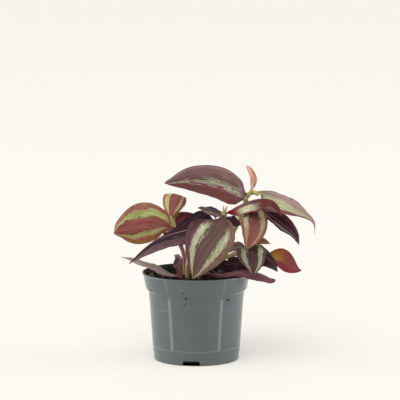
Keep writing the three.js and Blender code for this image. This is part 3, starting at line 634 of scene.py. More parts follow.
class Signal:
    """What a node gives out, which can be worked on with the usual signs."""

    def __init__(self, wiring, socket):
        self.wiring = wiring
        self.socket = socket

    def __add__(self, other):
        return self.wiring.math("ADD", self, other)

    def __sub__(self, other):
        return self.wiring.math("SUBTRACT", self, other)

    def __rsub__(self, other):
        return self.wiring.math("SUBTRACT", other, self)

    def __mul__(self, other):
        return self.wiring.math("MULTIPLY", self, other)

    def __truediv__(self, other):
        return self.wiring.math("DIVIDE", self, other)

    def __abs__(self):
        return self.wiring.math("ABSOLUTE", self)


class Wiring:
    """Adds nodes to one node tree and links them."""

    def __init__(self, tree):
        self.tree = tree

    def feed(self, socket, value):
        if isinstance(value, Signal):
            self.tree.links.new(value.socket, socket)
        elif value is not None:
            socket.default_value = value

    def node(self, kind, *values, **settings):
        """A new node with values for its first inputs."""
        made = self.tree.nodes.new("ShaderNode" + kind)
        for name, value in settings.items():
            setattr(made, name, value)
        for socket, value in zip(made.inputs, values):
            self.feed(socket, value)
        return made

    def made(self, kind, *values, out=0, **settings):
        """What a new node gives out."""
        return Signal(self, self.node(kind, *values, **settings).outputs[out])

    def math(self, operation, a, b=None, clamp=False):
        return self.made("Math", a, b, operation=operation, use_clamp=clamp)

    def blend(self, share, a, b):
        """A number between a and b."""
        return self.made("Mix", share, None, a, b, data_type="FLOAT")

    def mix(self, share, a, b, way="MIX"):
        """A colour between a and b. The node's inputs for numbers and vectors come first."""
        return self.made("Mix", share, *[None] * 5, a, b, out=2, data_type="RGBA", blend_type=way)

    def tinted(self, share, color, tint):
        """A colour, multiplied by a tint where the share is 1."""
        return self.mix(share, color, self.mix(1.0, color, tint, "MULTIPLY"))

    def rise(self, value, low, high):
        """0 below low, 1 above high, and smooth between."""
        return self.made("MapRange", value, low, high, interpolation_type="SMOOTHSTEP")

    def fall(self, value, low, high):
        """1 below low, 0 above high, and smooth between."""
        return 1 - self.rise(value, low, high)

    def spot(self, x, y, z=0.0):
        return self.made("CombineXYZ", x, y, z)

    def shifted(self, vector, shift):
        return self.made("VectorMath", vector, (shift, shift, shift), operation="ADD")

    def split(self, vector):
        return [Signal(self, socket) for socket in self.node("SeparateXYZ", vector).outputs]

    def reach(self, vector):
        """How far a place is from the upright axis."""
        x, y, _ = self.split(vector)
        return self.math("SQRT", x * x + y * y)

    def grain(self, vector, scale, detail=2.0, roughness=0.5):
        """Noise. The node's second input belongs to noise in four dimensions."""
        return self.made("TexNoise", vector, None, scale, detail, roughness)

    def place(self):
        """Where the point is on the object, in metres."""
        return self.made("TexCoord", out="Object")

    def sheet(self):
        """How far along and across the point is."""
        return self.split(self.made("UVMap", uv_map="sheet"))[:2]

    def value(self, name):
        return self.made("Attribute", out="Fac", attribute_name=name)


def effect(name, takes, gives):
    """A new node group's wiring and what it takes, by kind of socket. It gives a colour and some numbers."""
    tree = bpy.data.node_groups.new(name, "ShaderNodeTree")
    sockets = [("INPUT", kind, part) for kind, parts in takes.items() for part in parts]
    sockets += [("OUTPUT", "Color", "color")] + [("OUTPUT", "Float", part) for part in gives]
    for way, kind, part in sockets:
        tree.interface.new_socket(name=titled(part), in_out=way, socket_type="NodeSocket" + kind)
    wiring = Wiring(tree)
    entry = tree.nodes.new("NodeGroupInput").outputs
    parts = [part for parts in takes.values() for part in parts]
    return wiring, SimpleNamespace(**{part: Signal(wiring, entry[titled(part)]) for part in parts})


def give(wiring, **values):
    """Leads an effect's values out of its group, and returns the group."""
    leave = wiring.tree.nodes.new("NodeGroupOutput").inputs
    for name, value in values.items():
        wiring.feed(leave[titled(name)], value)
    return wiring.tree


def use(wiring, tree, **values):
    """Places an effect in a material, with its own values."""
    made = wiring.node("Group", node_tree=tree)
    for name, value in values.items():
        wiring.feed(made.inputs[titled(name)], value)
    return SimpleNamespace(**{out.name.lower(): Signal(wiring, out) for out in made.outputs})


def new_finish(name):
    """A new material and its wiring."""
    material = bpy.data.materials.new(name)
    material.use_nodes = True
    return material, Wiring(material.node_tree)


def coat(wiring, color, roughness, **constants):
    """Leads colour and roughness to the material's shader, and sets constants on it."""
    inputs = wiring.tree.nodes["Principled BSDF"].inputs
    for label, value in dict(base_color=color, roughness=roughness, **constants).items():
        wiring.feed(inputs[label.replace("_", " ").title().replace("Ior", "IOR")], value)


def emboss(wiring, height, strength, depth):
    """Raises the material's surface by a height value. The depth is in metres."""
    bump = wiring.node("Bump")
    for label, value in (("Strength", strength), ("Distance", depth), ("Height", height)):
        wiring.feed(bump.inputs[label], value)
    wiring.feed(wiring.tree.nodes["Principled BSDF"].inputs["Normal"], Signal(wiring, bump.outputs[0]))


def striped_effect():
    """The leaf's pattern: centre band, silver stripe in each half, margins, midrib and fine veins."""
    sides = [f"{part}_{side}" for part in ("place", "width") for side in ("left", "right")]
    numbers = ["along", "across", "seed", "veins", *sides, *LEAF_SHARES]
    takes = {"Float": numbers, "Color": ["tip", *LEAF_COLORS]}
    w, entry = effect("striped leaf", takes, ["roughness", "relief"])
    along, across, seed, veins = entry.along, entry.across, entry.seed, entry.veins
    out = abs(across)
    side = w.rise(across, -0.01, 0.01)

    def streaks(stretch, spread, shift, detail):
        spot = w.spot(along * stretch, across * spread, seed)
        return w.grain(w.shifted(spot, shift), veins * 0.1, detail, 0.6)

    broad = streaks(3.5, 9.0, 0.0, 3.0)
    fine = streaks(5.0, 30.0, 7.0, 2.0)
    torn = streaks(11.0, 14.0, 13.0, 4.0)
    speck = streaks(38.0, 30.0, 19.0, 2.0)
    wander = w.grain(w.spot(along * 3.4, across * 1.3, seed), 1.0)
    shifted = out + (wander - 0.5) * 0.3
    middle = w.blend(side, entry.place_left, entry.place_right)
    width = w.blend(side, entry.width_left, entry.width_right) * w.blend(w.rise(along, 0.45, 1.0), 1.1, 0.6)
    frayed = (broad - 0.5) * 1.4 + (torn - 0.5)
    edge = (abs(shifted - middle) + frayed * entry.ragged) / width
    scratch = w.rise(speck, 0.6, 0.72) * 0.45
    grown = along + torn * 0.12 - entry.foot
    strength = w.blend(side, entry.stripe_left, entry.stripe_right)
    band = w.fall(edge, 0.75, 1.15) * (1 - scratch) * w.rise(grown, -0.1, 0.1) * strength

    tone = w.rise(broad, 0.3, 0.7)
    near = w.rise(shifted, 0.08, middle) * w.blend(along, 0.35, 1.0)
    dark = w.math("ADD", near * 0.7, tone * 0.4, clamp=True)
    centre = w.mix(dark, entry.centre, entry.deep)
    margin = w.mix(side, entry.margin_left, entry.margin_right)
    margin = w.mix(w.rise(torn, 0.42, 0.68) * 0.5, margin, entry.deep)
    outer = middle + width * 1.15
    beyond = w.rise(shifted, middle, outer)
    streak = beyond * w.fall(shifted, outer, outer + 0.12) * w.blend(w.rise(torn, 0.4, 0.6), 0.3, 0.9)
    color = w.mix(streak, w.mix(beyond, centre, margin), entry.flush)
    line = w.rise(fine, 0.48, 0.64) * 0.5
    color = w.tinted(line, color, (0.5, 0.38, 0.42, 1))
    color = w.tinted(w.fall(fine, 0.36, 0.5), color, (1.45, 1.38, 1.38, 1))
    silver = w.mix(w.rise(broad, 0.42, 0.6), entry.stripe, entry.pale)
    color = w.mix(band, color, w.tinted(line * 0.8, silver, (0.72, 0.7, 0.66, 1)))
    color = w.mix(w.rise(out, 0.93, 1.0) * 0.55, color, w.mix(0.5, margin, entry.flush))
    color = w.mix(w.fall(grown, -0.08, 0.16) * entry.blush, color, entry.flush)
    color = w.mix(w.rise(along + torn * 0.3, 0.5, 0.85) * entry.tip_blush, color, entry.tip)
    rib = w.fall(abs(across - entry.rib_place), 0.012, w.blend(along, 0.05, 0.035))
    color = w.mix(rib * w.blend(tone, 0.75, 0.5), color, entry.rib)
    ridge = w.math("SINE", out * (veins * VEIN_TURNS))
    gloss = w.blend(band, w.blend(tone, 0.5, 0.38), 0.33)
    return give(w, color=color, roughness=gloss, relief=ridge * 0.5 + fine)


def underside_effect():
    """The leaf's underside: plain purple with paler veins and blotches."""
    takes = {"Float": ["along", "across", "seed", "veins"], "Color": ["under"]}
    w, entry = effect("leaf underside", takes, ["roughness", "relief"])
    along, across, veins, under = entry.along, entry.across, entry.veins, entry.under
    streak = w.grain(w.spot(along * 3, across * veins, entry.seed), 1.3, 3.0, 0.6)
    blotch = w.grain(w.spot(along * 4, across * 2, entry.seed), 1.0)
    color = w.mix(w.rise(blotch, 0.35, 0.7) * 0.5, under, w.mix(0.5, under, (0.32, 0.06, 0.13, 1)))
    color = w.mix(w.rise(streak, 0.55, 0.75) * 0.3, color, w.mix(0.4, color, (0.5, 0.3, 0.4, 1)))
    ridge = w.math("SINE", abs(across) * (veins * VEIN_TURNS))
    return give(w, color=color, roughness=w.blend(streak, 0.42, 0.55), relief=ridge * 0.6 + streak)


def leaf_finishes(name, leaf, effects):
    """The upper side, underside and sheath of one leaf."""
    settings = bpy.context.scene.inch_plant_leaves
    look = {**PLAIN_LOOK, **LOOKS[leaf["look"]], **leaf["paint"]}
    look.setdefault("tip", look["flush"])
    upper = {part: look[part] for part in LEAF_SHARES}
    upper.update({part: linear(look[part]) for part in ["tip", *LEAF_COLORS]})
    for part, size in (("place", 1.0), ("width", settings.stripe_width)):
        for side, share in zip(("left", "right"), np.broadcast_to(look[part], 2)):
            upper[f"{part}_{side}"] = share * size
    finishes = []
    for side, values, strength, depth in (
        ("upper", upper, 0.35, 0.00012),
        ("underside", {"under": linear(look["under"])}, 0.4, 0.00014),
    ):
        finish, w = new_finish(f"{name}_{side}")
        x, y = w.sheet()
        made = use(w, effects[side], along=x, across=y * 2 - 1, seed=leaf["seed"],
                   veins=max(leaf["half"]) * 0.95, **values)
        coat(w, made.color, made.roughness,
             subsurface_weight=0.06, subsurface_scale=0.002, specular_ior_level=0.22)
        emboss(w, made.relief, strength, depth)
        finishes.append(finish)
    return [*finishes, effects["sheath"]]


def sheath_finish():
    """The thin sheath round the stem, striped lengthwise in pale green and magenta."""
    material, w = new_finish("leaf_sheath")
    x, y = w.sheet()
    blush = w.value("blush")
    stripe = w.grain(w.spot(x * 0.8, y * 9), 2.2, 3.0, 0.6)
    tint = stripe + (blush - 0.5) * 0.5
    color = w.mix(w.rise(tint, 0.38, 0.62), linear(SHEATH_GREEN), linear(SHEATH_RED))
    color = w.mix(w.rise(x, 0.75, 1.0) * blush * 0.8, color, linear(SHEATH_EDGE))
    coat(w, color, w.blend(stripe, 0.5, 0.38), subsurface_weight=0.1, subsurface_scale=0.002)
    emboss(w, stripe, 0.4, 0.0001)
    return material


def stem_finish():
    """Juicy stem: green turning red where the blush value is high, with fine lengthwise streaks."""
    settings = bpy.context.scene.inch_plant_stems
    material, w = new_finish("juicy_stem")
    x, y = w.sheet()
    streak = w.grain(w.spot(x * 0.16, y * 10), 2.0, 4.0, 0.65)
    fleck = w.grain(w.spot(x * 1.2, y * 14, 4.0), 2.2)
    blush = w.value("blush") + (streak - 0.5) * 0.9
    color = w.mix(w.rise(blush, 0.2, 0.8), tuple(settings.green), tuple(settings.red))
    color = w.mix(w.rise(fleck, 0.6, 0.72) * 0.5, color, linear(STEM_FLECK))
    coat(w, color, w.blend(streak, 0.3, 0.46), subsurface_weight=0.12, subsurface_scale=0.003)
    emboss(w, streak, 0.35, 0.00012)
    return material


def mottle_effect():
    """Slow change of tone, fine grain and smudges over a moulded surface."""
    takes = {"Vector": ["vector"], "Color": ["tone"], "Float": ["change", "smudge"]}
    w, entry = effect("moulded surface", takes, ["smudges", "grain"])
    slow = w.grain(entry.vector, 60.0, 3.0)
    fine = w.grain(entry.vector, 900.0)
    smudge = w.rise(w.grain(entry.vector, 140.0, 5.0, 0.65), 0.5, 0.72)
    color = w.tinted((slow + fine * 0.5) * entry.change, entry.tone, (0.72, 0.74, 0.75, 1))
    return give(w, color=color, smudges=smudge * entry.smudge, grain=fine + slow * 2)


def pot_finish():
    """Smooth grey plastic with smudges, paler streaks and a paler mould line painted as highlights, dust at
    the foot, dust and painted shade inside, and painted shade in the drain gaps.
    """
    settings = bpy.context.scene.inch_plant_pot
    material, w = new_finish("nursery_plastic")
    place = w.place()
    made = use(w, mottle_effect(), vector=place, tone=tuple(settings.color), change=0.5, smudge=0.5)
    x, y, z = w.split(place)
    dust = w.grain(place, 420.0, 4.0, 0.7)
    dust_and_shade = w.rise(dust, 0.5, 0.68) * (w.fall(z, *DUSTY_FOOT) * 0.35)
    # Inside the pot the plastic is darkened as dust and painted shade together.
    dust_and_shade = w.math("MAXIMUM", dust_and_shade, w.value("inside") * w.blend(dust, 0.9, 1.0))
    # Painted shade in the drain gaps, below their top and inside their edge.
    dust_and_shade = w.math("MAXIMUM", dust_and_shade, w.fall(w.reach(place), *GAP_REACH) * w.fall(z, *GAP_TOP))
    # Paler streaks every sixth of a turn, painted as the highlights down the wall.
    front = w.math("ARCTAN2", x, y * -1) + HIGHLIGHT_SHIFT
    turn = abs(front) - (z - HIGHLIGHT_MIDDLE) * HIGHLIGHT_LEAN
    apart = w.math("PINGPONG", turn - HIGHLIGHT_FIRST, math.pi / 6)
    shown = w.rise(z, *WALL_FOOT) * w.fall(z, *WALL_TOP) + w.rise(z, *COLLAR_FOOT) * 0.3
    rib = w.fall(apart, HIGHLIGHT_HALF * 0.5, HIGHLIGHT_HALF * 3.5) * shown
    # The mould line, painted paler as the highlight along it.
    ring = w.fall(abs(z - MOULD_LINE), 0.00012, 0.0005) * w.blend(dust, 0.2, 0.8)
    worn = w.math("MAXIMUM", rib, ring)
    tone = w.mix(worn * 0.8, made.color, tuple(settings.worn))
    gloss = made.smudges * 0.25 + settings.roughness
    coat(w, w.mix(dust_and_shade, tone, linear(POT_DUST_AND_SHADE)), w.blend(dust_and_shade, gloss, 0.8))
    emboss(w, made.grain + worn * 2, 0.06, 0.0001)
    return material


def soil_finish():
    """Dark moist potting soil, with crumbs that differ in tone."""
    settings = bpy.context.scene.inch_plant_soil
    material, w = new_finish("potting_mix")
    crumb = w.grain(w.place(), 900.0, 4.0, 0.7)
    lump = w.grain(w.place(), 260.0, 3.0)
    color = w.mix(w.rise(crumb, 0.35, 0.7), tuple(settings.color), linear(SOIL_LIGHT))
    color = w.mix(w.rise(lump, 0.5, 0.75) * 0.6, color, linear(SOIL_DARK))
    color = w.mix(w.value("pale") * 0.8, color, linear(SOIL_BARK))
    coat(w, color, w.blend(crumb, 0.7, 0.95), specular_ior_level=0.25)
    emboss(w, crumb, 0.8, 0.0004)
    return material


def litter_finish():
    """Dried brown leaf and sheath scraps."""
    settings = bpy.context.scene.inch_plant_scraps
    material, w = new_finish("dried_scraps")
    x, y = w.sheet()
    streak = w.grain(w.spot(x, y * 8), 3.0, 3.0, 0.6)
    color = w.mix(w.rise(streak, 0.35, 0.65), tuple(settings.dark), tuple(settings.light))
    coat(w, color, w.blend(streak, 0.85, 0.6))
    emboss(w, streak, 0.6, 0.0002)
    return material


# Pieces


def rounded(profile, radius):
    """A profile with each inner corner rounded off by a short curve of four points."""
    corners = np.array(profile, float)
    made = [corners[0]]
    for before, corner, after in zip(corners, corners[1:], corners[2:]):
        back, ahead = before - corner, after - corner
        reach = min(radius, 0.45 * np.linalg.norm(back), 0.45 * np.linalg.norm(ahead))
        start = corner + back / np.linalg.norm(back) * reach
        end = corner + ahead / np.linalg.norm(ahead) * reach
        for share in (0, 1 / 3, 2 / 3, 1):
            made.append((1 - share) ** 2 * start + 2 * share * (1 - share) * corner + share**2 * end)
    return np.array(made + [corners[-1]])


def turned(shape, profile, sides, **values):
    """A closed solid of revolution whose profile starts and ends on the axis."""
    turn = 2 * np.pi * np.arange(sides) / sides
    rings = profile[1:-1]
    points = [[0, 0, profile[0][1]], [0, 0, profile[-1][1]]]
    for radius, height in rings:
        points += circle(radius, height, turn)
    faces = ring_faces(len(rings), sides, 2)
    last = 2 + (len(rings) - 1) * sides
    for k in range(sides):
        faces.append((0, 2 + (k + 1) % sides, 2 + k))
        faces.append((1, last + k, last + (k + 1) % sides))
    for name, row in values.items():
        values[name] = np.concatenate([[row[0], row[-1]], np.repeat(row[1:-1], sides)])
    shape.add(points, faces, **values)


def cut(piece, cutter):
    """Cuts one mesh out of another and removes the cutter."""
    change = piece.modifiers.new("cut", "BOOLEAN")
    change.operation = "DIFFERENCE"
    change.solver = "EXACT"
    change.object = cutter
    seen = bpy.context.evaluated_depsgraph_get()
    mesh = bpy.data.meshes.new_from_object(piece.evaluated_get(seen))
    piece.modifiers.remove(change)
    old = piece.data
    piece.data = mesh
    bpy.data.meshes.remove(old)
    bpy.data.objects.remove(cutter)


def drain_cutter():
    """Blocks for the drain gaps in the foot, a little wider below."""
    shape = Shape()
    for i in range(DRAIN_COUNT):
        turn = Matrix.Rotation(math.radians(DRAIN_FIRST + 360 * i / DRAIN_COUNT), 3, "Z")
        corners = []
        for z, spread in ((-1, DRAIN_FLARE), (DRAIN_HEIGHT, 0)):
            for x, y in ((-1, -1), (1, -1), (1, 1), (-1, 1)):
                half = DRAIN_WIDTH / 2 + spread
                corners.append(turn @ Vector((DRAIN_RADIUS + x * DRAIN_DEPTH / 2, y * half, z)))
        faces = [(3, 2, 1, 0), (4, 5, 6, 7)]
        faces += [(k, (k + 1) % 4, 4 + (k + 1) % 4, 4 + k) for k in range(4)]
        shape.add([tuple(c) for c in corners], faces)
    return shape.build("drain_cutter", [])


def make_pot():
    """The nursery pot: a finely turned wall with its collar, lip and drain gaps."""
    profile = rounded(POT_UNDERSIDE + POT_OUTSIDE + POT_INSIDE + [[0, POT_FLOOR]], POT_ROUNDING)
    lip = max(range(len(profile)), key=lambda k: profile[k][1])
    inside = [float(k > lip and r < POT_MOUTH) for k, (r, _) in enumerate(profile)]
    shape = Shape()
    turned(shape, profile, POT_SIDES, inside=inside)
    pot = shape.build("nursery_pot", [pot_finish()])
    cut(pot, drain_cutter())
    sharpen(pot.data, 35)
    settle(pot, "pot_plastic", "pot")


def soil_height(x, y):
    """The height of the soil's top, in millimetres, without its crumbs."""
    return SOIL_TOP + sum(h * math.sin(a * x + b * y + shift) for h, a, b, shift in SOIL_RIPPLES)


def crumb(shape, middle, size, draw, pale=0.0):
    """A small lump of random form."""
    work = bmesh.new()
    bmesh.ops.create_icosphere(work, subdivisions=1 if size < 0.9 else 2, radius=1)
    stretch = Vector((draw.uniform(0.7, 1.3), draw.uniform(0.6, 1.1), draw.uniform(0.5, 0.9))) * size
    turn = Euler([draw.uniform(0, 6.28) for _ in range(3)]).to_matrix()
    shift = Vector([draw.uniform(0, 90) for _ in range(3)])
    points = []
    for vertex in work.verts:
        swell = 1 + 0.55 * noise.noise(vertex.co * 1.6 + shift)
        grown = Vector(a * b for a, b in zip(vertex.co * swell, stretch))
        points.append(tuple(turn @ grown + middle))
    faces = [tuple(v.index for v in face.verts) for face in work.faces]
    work.free()
    shape.add(points, faces, pale=pale)


def make_soil():
    """The soil: a crumbly top with loose lumps and bark on it."""
    settings = bpy.context.scene.inch_plant_soil
    finish = soil_finish()
    shape = Shape()
    points = [[0, 0, soil_height(0, 0)]]
    for i in range(1, SOIL_RINGS + 1):
        r = SOIL_EDGE * i / SOIL_RINGS
        for k in range(SOIL_SECTORS):
            turn = 2 * math.pi * (k + i % 2 / 2) / SOIL_SECTORS
            x, y = r * math.cos(turn), r * math.sin(turn)
            spot = Vector((x, y, 0))
            rough = 0.55 * noise.fractal(spot * 0.9, 0.8, 2.1, 4) + 0.35 * noise.noise(spot * 0.35)
            points.append([x, y, soil_height(x, y) + rough * eased(SOIL_EDGE - r, 0, 1.5)])
    for r, z in SOIL_SIDE:
        points += circle(r, z, np.linspace(0, 2 * math.pi, SOIL_SECTORS, False))
    rings = SOIL_RINGS + len(SOIL_SIDE)
    points.append([0, 0, SOIL_SIDE[-1][1]])
    faces = [(0, 1 + k, 1 + (k + 1) % SOIL_SECTORS) for k in range(SOIL_SECTORS)]
    faces += [tuple(reversed(face)) for face in ring_faces(rings, SOIL_SECTORS, 1)]
    last = 1 + (rings - 1) * SOIL_SECTORS
    faces += [(len(points) - 1, last + (k + 1) % SOIL_SECTORS, last + k) for k in range(SOIL_SECTORS)]
    shape.add(points, faces, pale=0.0)
    settle(shape.build("soil_bed", [finish], 80), "soil", "potting_soil")

    draw = random.Random(LUMP_SEED)
    loose = Shape()
    for _ in range(settings.crumbs):
        turn = draw.uniform(0, 2 * math.pi)
        r = (SOIL_EDGE - LUMP_MARGIN) * math.sqrt(draw.random())
        size = settings.crumb_size * draw.uniform(0.35, 1.0) ** 2 * 1.6
        x, y = r * math.cos(turn), r * math.sin(turn)
        middle = Vector((x, y, soil_height(x, y) + 0.25 * size))
        crumb(loose, middle, size, draw, pale=float(draw.random() < BARK_SHARE))
    for x, y, z, size in PALE_BITS:
        crumb(loose, Vector((x, y, z)), size, draw, pale=1.0)
    settle(loose.build("soil_crumbs", [finish], 60), "soil")

    dirt = Shape()
    for degrees, height, size in POT_SPECKS:
        turn = math.radians(degrees)
        r = np.interp(height, [z for _, z in POT_OUTSIDE[5:]], [r for r, _ in POT_OUTSIDE[5:]])
        middle = Vector((r * math.cos(turn), r * math.sin(turn), height))
        crumb(dirt, middle, size, draw)
    settle(dirt.build("pot_specks", [finish], 60), "soil")


def make_scraps():
    """Dried curls of old leaves and sheaths that lie on the soil."""
    shape = Shape()
    quads, rim = sheet_faces(SCRAP_ROWS, SCRAP_COLUMNS)
    under = SCRAP_ROWS * SCRAP_COLUMNS
    faces = [tuple(reversed(quad)) for quad in quads] + [tuple(k + under for k in quad) for quad in quads]
    faces += [(b, a, a + under, b + under) for a, b in rim]
    shares = np.linspace(0, 1, SCRAP_ROWS)
    for x, y, z, turn, length, width, curl, twist in SCRAPS:
        ahead = np.array([math.cos(math.radians(turn)), math.sin(math.radians(turn)), 0])
        beside = np.array([-ahead[1], ahead[0], 0])
        points = []
        for lift in (SCRAP_THICKNESS / 2, -SCRAP_THICKNESS / 2):
            for share in shares:
                bend = curl * share
                run = length * math.sin(bend) / curl
                rise = length * (1 - math.cos(bend)) / curl
                half = width / 2 * math.sin(math.pi * (0.1 + 0.85 * share)) ** 0.6
                lean = math.radians(twist) * share
                for place in np.linspace(-1, 1, SCRAP_COLUMNS):
                    out = beside * math.cos(lean) + np.array([0, 0, math.sin(lean)])
                    hollow = 0.35 * half * place**2
                    points.append(np.array([x, y, z]) + ahead * run + out * half * place
                                  + np.array([0, 0, rise + hollow + lift]))
        sheet = [[share * length / 4, place / 2] for share in shares for place in range(SCRAP_COLUMNS)]
        shape.add(points, faces, sheet=sheet * 2)
    settle(shape.build("dried_scraps", [litter_finish()], 60), "soil")


def along_stem(name, key, shares):
    """A stem's radius or redness at shares of its length, from the figures in its entry."""
    figures = STEMS[name][key]
    return np.interp(shares, np.linspace(0, 1, len(figures)), figures)


def sheath_share(leaf, route):
    return 1 - leaf["back"] / route.length


def stem_radii(name, route, shares):
    """The stem's radius, swollen a little at each node."""
    radii = along_stem(name, "radius", shares)
    for leaf in LEAVES.values():
        if leaf["stem"] == name:
            apart = (shares - sheath_share(leaf, route)) * route.length
            radii = radii + NODE_SWELL * np.exp(-((apart + 1.3) / 0.8) ** 2)
    return radii


def grow_stem(shape, name):
    """One stem as a tube with a rounded growing tip."""
    route = Route(STEMS[name]["path"])
    count = int(route.length / STEM_STEP)
    shares = np.linspace(0, 1, count)
    radii = stem_radii(name, route, shares)
    rings = tube_rings(route, shares, STEM_SIDES, radii)
    turn = np.arange(STEM_SIDES) / STEM_SIDES
    ridge = 1 + 0.02 * np.sin(2 * np.pi * turn * 7)
    rings = rings.mean(1)[:, None] + (rings - rings.mean(1)[:, None]) * ridge[None, :, None]
    tip = rings[-1].mean(0)
    ahead = route.tangents(1.0)[0]
    cap = []
    for share in (0.25, 0.5, 0.75, 0.95):
        cap.append(tip + (rings[-1] - tip) * math.sqrt(1 - share**2) + ahead * share * radii[-1] * 0.7)
    points = np.vstack([rings.reshape(-1, 3), *cap, tip + ahead * radii[-1] * 0.7])
    whole = count + len(cap)
    faces = ring_faces(whole, STEM_SIDES)
    end = whole * STEM_SIDES
    faces += [(end - STEM_SIDES + k, end - STEM_SIDES + (k + 1) % STEM_SIDES, end) for k in range(STEM_SIDES)]
    faces.append(tuple(reversed(range(STEM_SIDES))))
    stretch = np.concatenate([shares, np.ones(len(cap))])
    blush = along_stem(name, "blush", stretch)
    sheet = [[s * route.length, t] for s in stretch for t in turn] + [[route.length, 0]]
    shape.add(points, faces, sheet=sheet, blush=np.concatenate([np.repeat(blush, STEM_SIDES), [blush[-1]]]))
    for x, y, z, length, width, blush in SHOOTS.get(name, [[*(ahead + [0, 0, 0.3]), 2.6, 1.5, 0.5]]):
        grow_leaflet(shape, tip, np.array([x, y, z]), length, width, blush)


def grow_leaflet(shape, foot, way, length, width, blush):
    """A small rolled leaf at the growing tip, flat, pointed and bent a little upward."""
    ahead = way / np.linalg.norm(way)
    wide = np.cross(ahead, [0, 0, 1.0])
    wide /= np.linalg.norm(wide)
    thin = np.cross(wide, ahead)
    turn = 2 * np.pi * np.arange(LEAFLET_SIDES) / LEAFLET_SIDES
    shares = np.linspace(0.02, 0.98, 9)
    points = []
    for share in shares:
        half = width / 2 * 1.7 * share**0.5 * (1 - share) ** 0.7
        middle = foot + ahead * share * length + thin * 0.18 * length * share**2
        points += [middle + wide * half * math.cos(t) + thin * half * 0.45 * math.sin(t) for t in turn]
    faces = ring_faces(len(shares), LEAFLET_SIDES)
    faces.append(tuple(reversed(range(LEAFLET_SIDES))))
    faces.append(tuple(range(len(points) - LEAFLET_SIDES, len(points))))
    sheet = [[share * length, t / 6.3] for share in shares for t in turn]
    blush = np.clip(blush + 0.8 * (shares - 0.5), 0, 1)
    shape.add(points, faces, sheet=sheet, blush=np.repeat(blush, LEAFLET_SIDES))


def make_stems():
    """Every stem, with its side branch."""
    finish = stem_finish()
    for name, stem in STEMS.items():
        if name in BRANCH_OF.values():
            continue
        shape = Shape()
        grow_stem(shape, name)
        if name in BRANCH_OF:
            grow_stem(shape, BRANCH_OF[name])
        settle(shape.build(name + "_stem", [finish], 60), stem["slot"], "stem_" + name)


def outline(share, leaf, side):
    """Half width at a share of the blade's length, as a share of the widest place."""
    base, point, neck = leaf["base"], leaf["point"][side], leaf["neck"]
    along = np.clip(share - neck, 0, None) / (1 - neck)
    widest = base / (base + point)
    top = widest**base * (1 - widest) ** point
    return along**base * (1 - along) ** point / top


def section(place, width, inner, outer):
    """How far out and up a place on a half section lies, turning from the inner to the outer angle."""
    bend = np.minimum(1, width / FLAT_WIDTH)
    a = np.radians(inner) * bend
    b = np.radians(outer) * bend
    turn = np.where(np.abs(b - a) < 1e-4, 1e-4, b - a)
    angle = a + turn * place
    return width * (np.sin(angle) - np.sin(a)) / turn, width * (np.cos(a) - np.cos(angle)) / turn


def blade_middle(leaf, route, shares, places, ruffle):
    """The blade's middle surface as rows of points."""
    ends = route.places([0, 1])
    chord = (ends[1] - ends[0]) / np.linalg.norm(ends[1] - ends[0])
    along = (1 - leaf["fan"]) * route.tangents(shares) + leaf["fan"] * chord
    along /= np.linalg.norm(along, axis=1)[:, None]
    face = np.outer(1 - shares, leaf["face"][0]) + np.outer(shares, leaf["face"][1])
    up = face - along * np.sum(face * along, axis=1)[:, None]
    up /= np.linalg.norm(up, axis=1)[:, None]
    right = np.cross(along, up)
    least = np.where(shares < 0.5, NECK_WIDTH * (1 - 0.2 * eased(shares, 0, 0.1)), TIP_WIDTH)
    clasp = BASE_FOLD * (1 - eased(shares, 0.02, 0.04 + leaf["neck"]))
    middle = route.places(shares)
    grid = np.zeros((len(shares), len(places), 3))
    for j, place in enumerate(places):
        side = 0 if place < 0 else 1
        inner, outer = leaf["right" if side else "left"]
        swell = outline(shares, leaf, side)
        width = np.maximum(leaf["half"][side] * swell, least)
        out, rise = section(abs(place), width, inner + clasp, outer + clasp)
        ripple = np.sin(2 * np.pi * leaf["waves"] * shares + WAVE_SHIFT * side)
        frill = np.sin(2 * np.pi * leaf["waves"] * 3.7 * shares + 5 * side + leaf["seed"])
        lift = rise + (leaf["wave"] * ripple + ruffle * frill * abs(place) ** 3) * swell * place**2
        grid[:, j] = (
            middle
            + along * (-leaf["sweep"] * width * place**2)[:, None]
            + right * (np.sign(place) * out)[:, None]
            + up * lift[:, None]
        )
    return grid


def grow_blade(shape, leaf, route, start):
    """The blade: thin, thicker along its midrib, with shallow folds along its main veins."""
    settings = bpy.context.scene.inch_plant_leaves
    even = np.linspace(0, 1, LEAF_ROWS + 1)
    shares = start + (1 - start) * (0.6 * even + 0.4 * even * even * (3 - 2 * even))
    half = np.linspace(0, 1, LEAF_COLUMNS + 1)
    half = 0.6 * half + 0.4 * half**2
    places = np.concatenate([-half[:0:-1], half])
    grid = blade_middle(leaf, route, shares, places, settings.ruffle / MM)
    ahead = np.gradient(grid, axis=0)
    across = np.gradient(grid, axis=1)
    normal = np.cross(across, ahead)
    normal /= np.maximum(np.linalg.norm(normal, axis=2), 1e-9)[:, :, None]
    out = np.abs(places)[None, :]
    swell = outline(shares, leaf, 0)[:, None]
    folds = settings.fold / MM * np.cos(2 * np.pi * FOLD_COUNT * out) * eased(out, 0.05, 0.2) * swell
    groove = 0.1 * np.exp(-((out / 0.05) ** 2)) * eased(shares, 0.0, 0.1)[:, None]
    thick = settings.thickness / MM * (0.55 - 0.33 * out**2 + 0.3 * (1 - eased(shares, 0.0, 0.2))[:, None])
    keel = 0.22 * np.exp(-((out / 0.06) ** 2)) * (1 - 0.8 * shares)[:, None]
    upper = grid + normal * (folds - groove + thick)[:, :, None]
    lower = grid + normal * (folds - thick - keel)[:, :, None]
    sheet = np.stack(np.meshgrid(shares, (places + 1) / 2, indexing="ij"), axis=-1)
    quads, rim = sheet_faces(len(shares), len(places))
    first = shape.add(upper, quads, 0, sheet)
    second = shape.add(lower, [tuple(reversed(quad)) for quad in quads], 1, sheet)
    shape.faces.extend((first + a, first + b, second + b, second + a) for a, b in rim)
    shape.paints.extend([0] * len(rim))


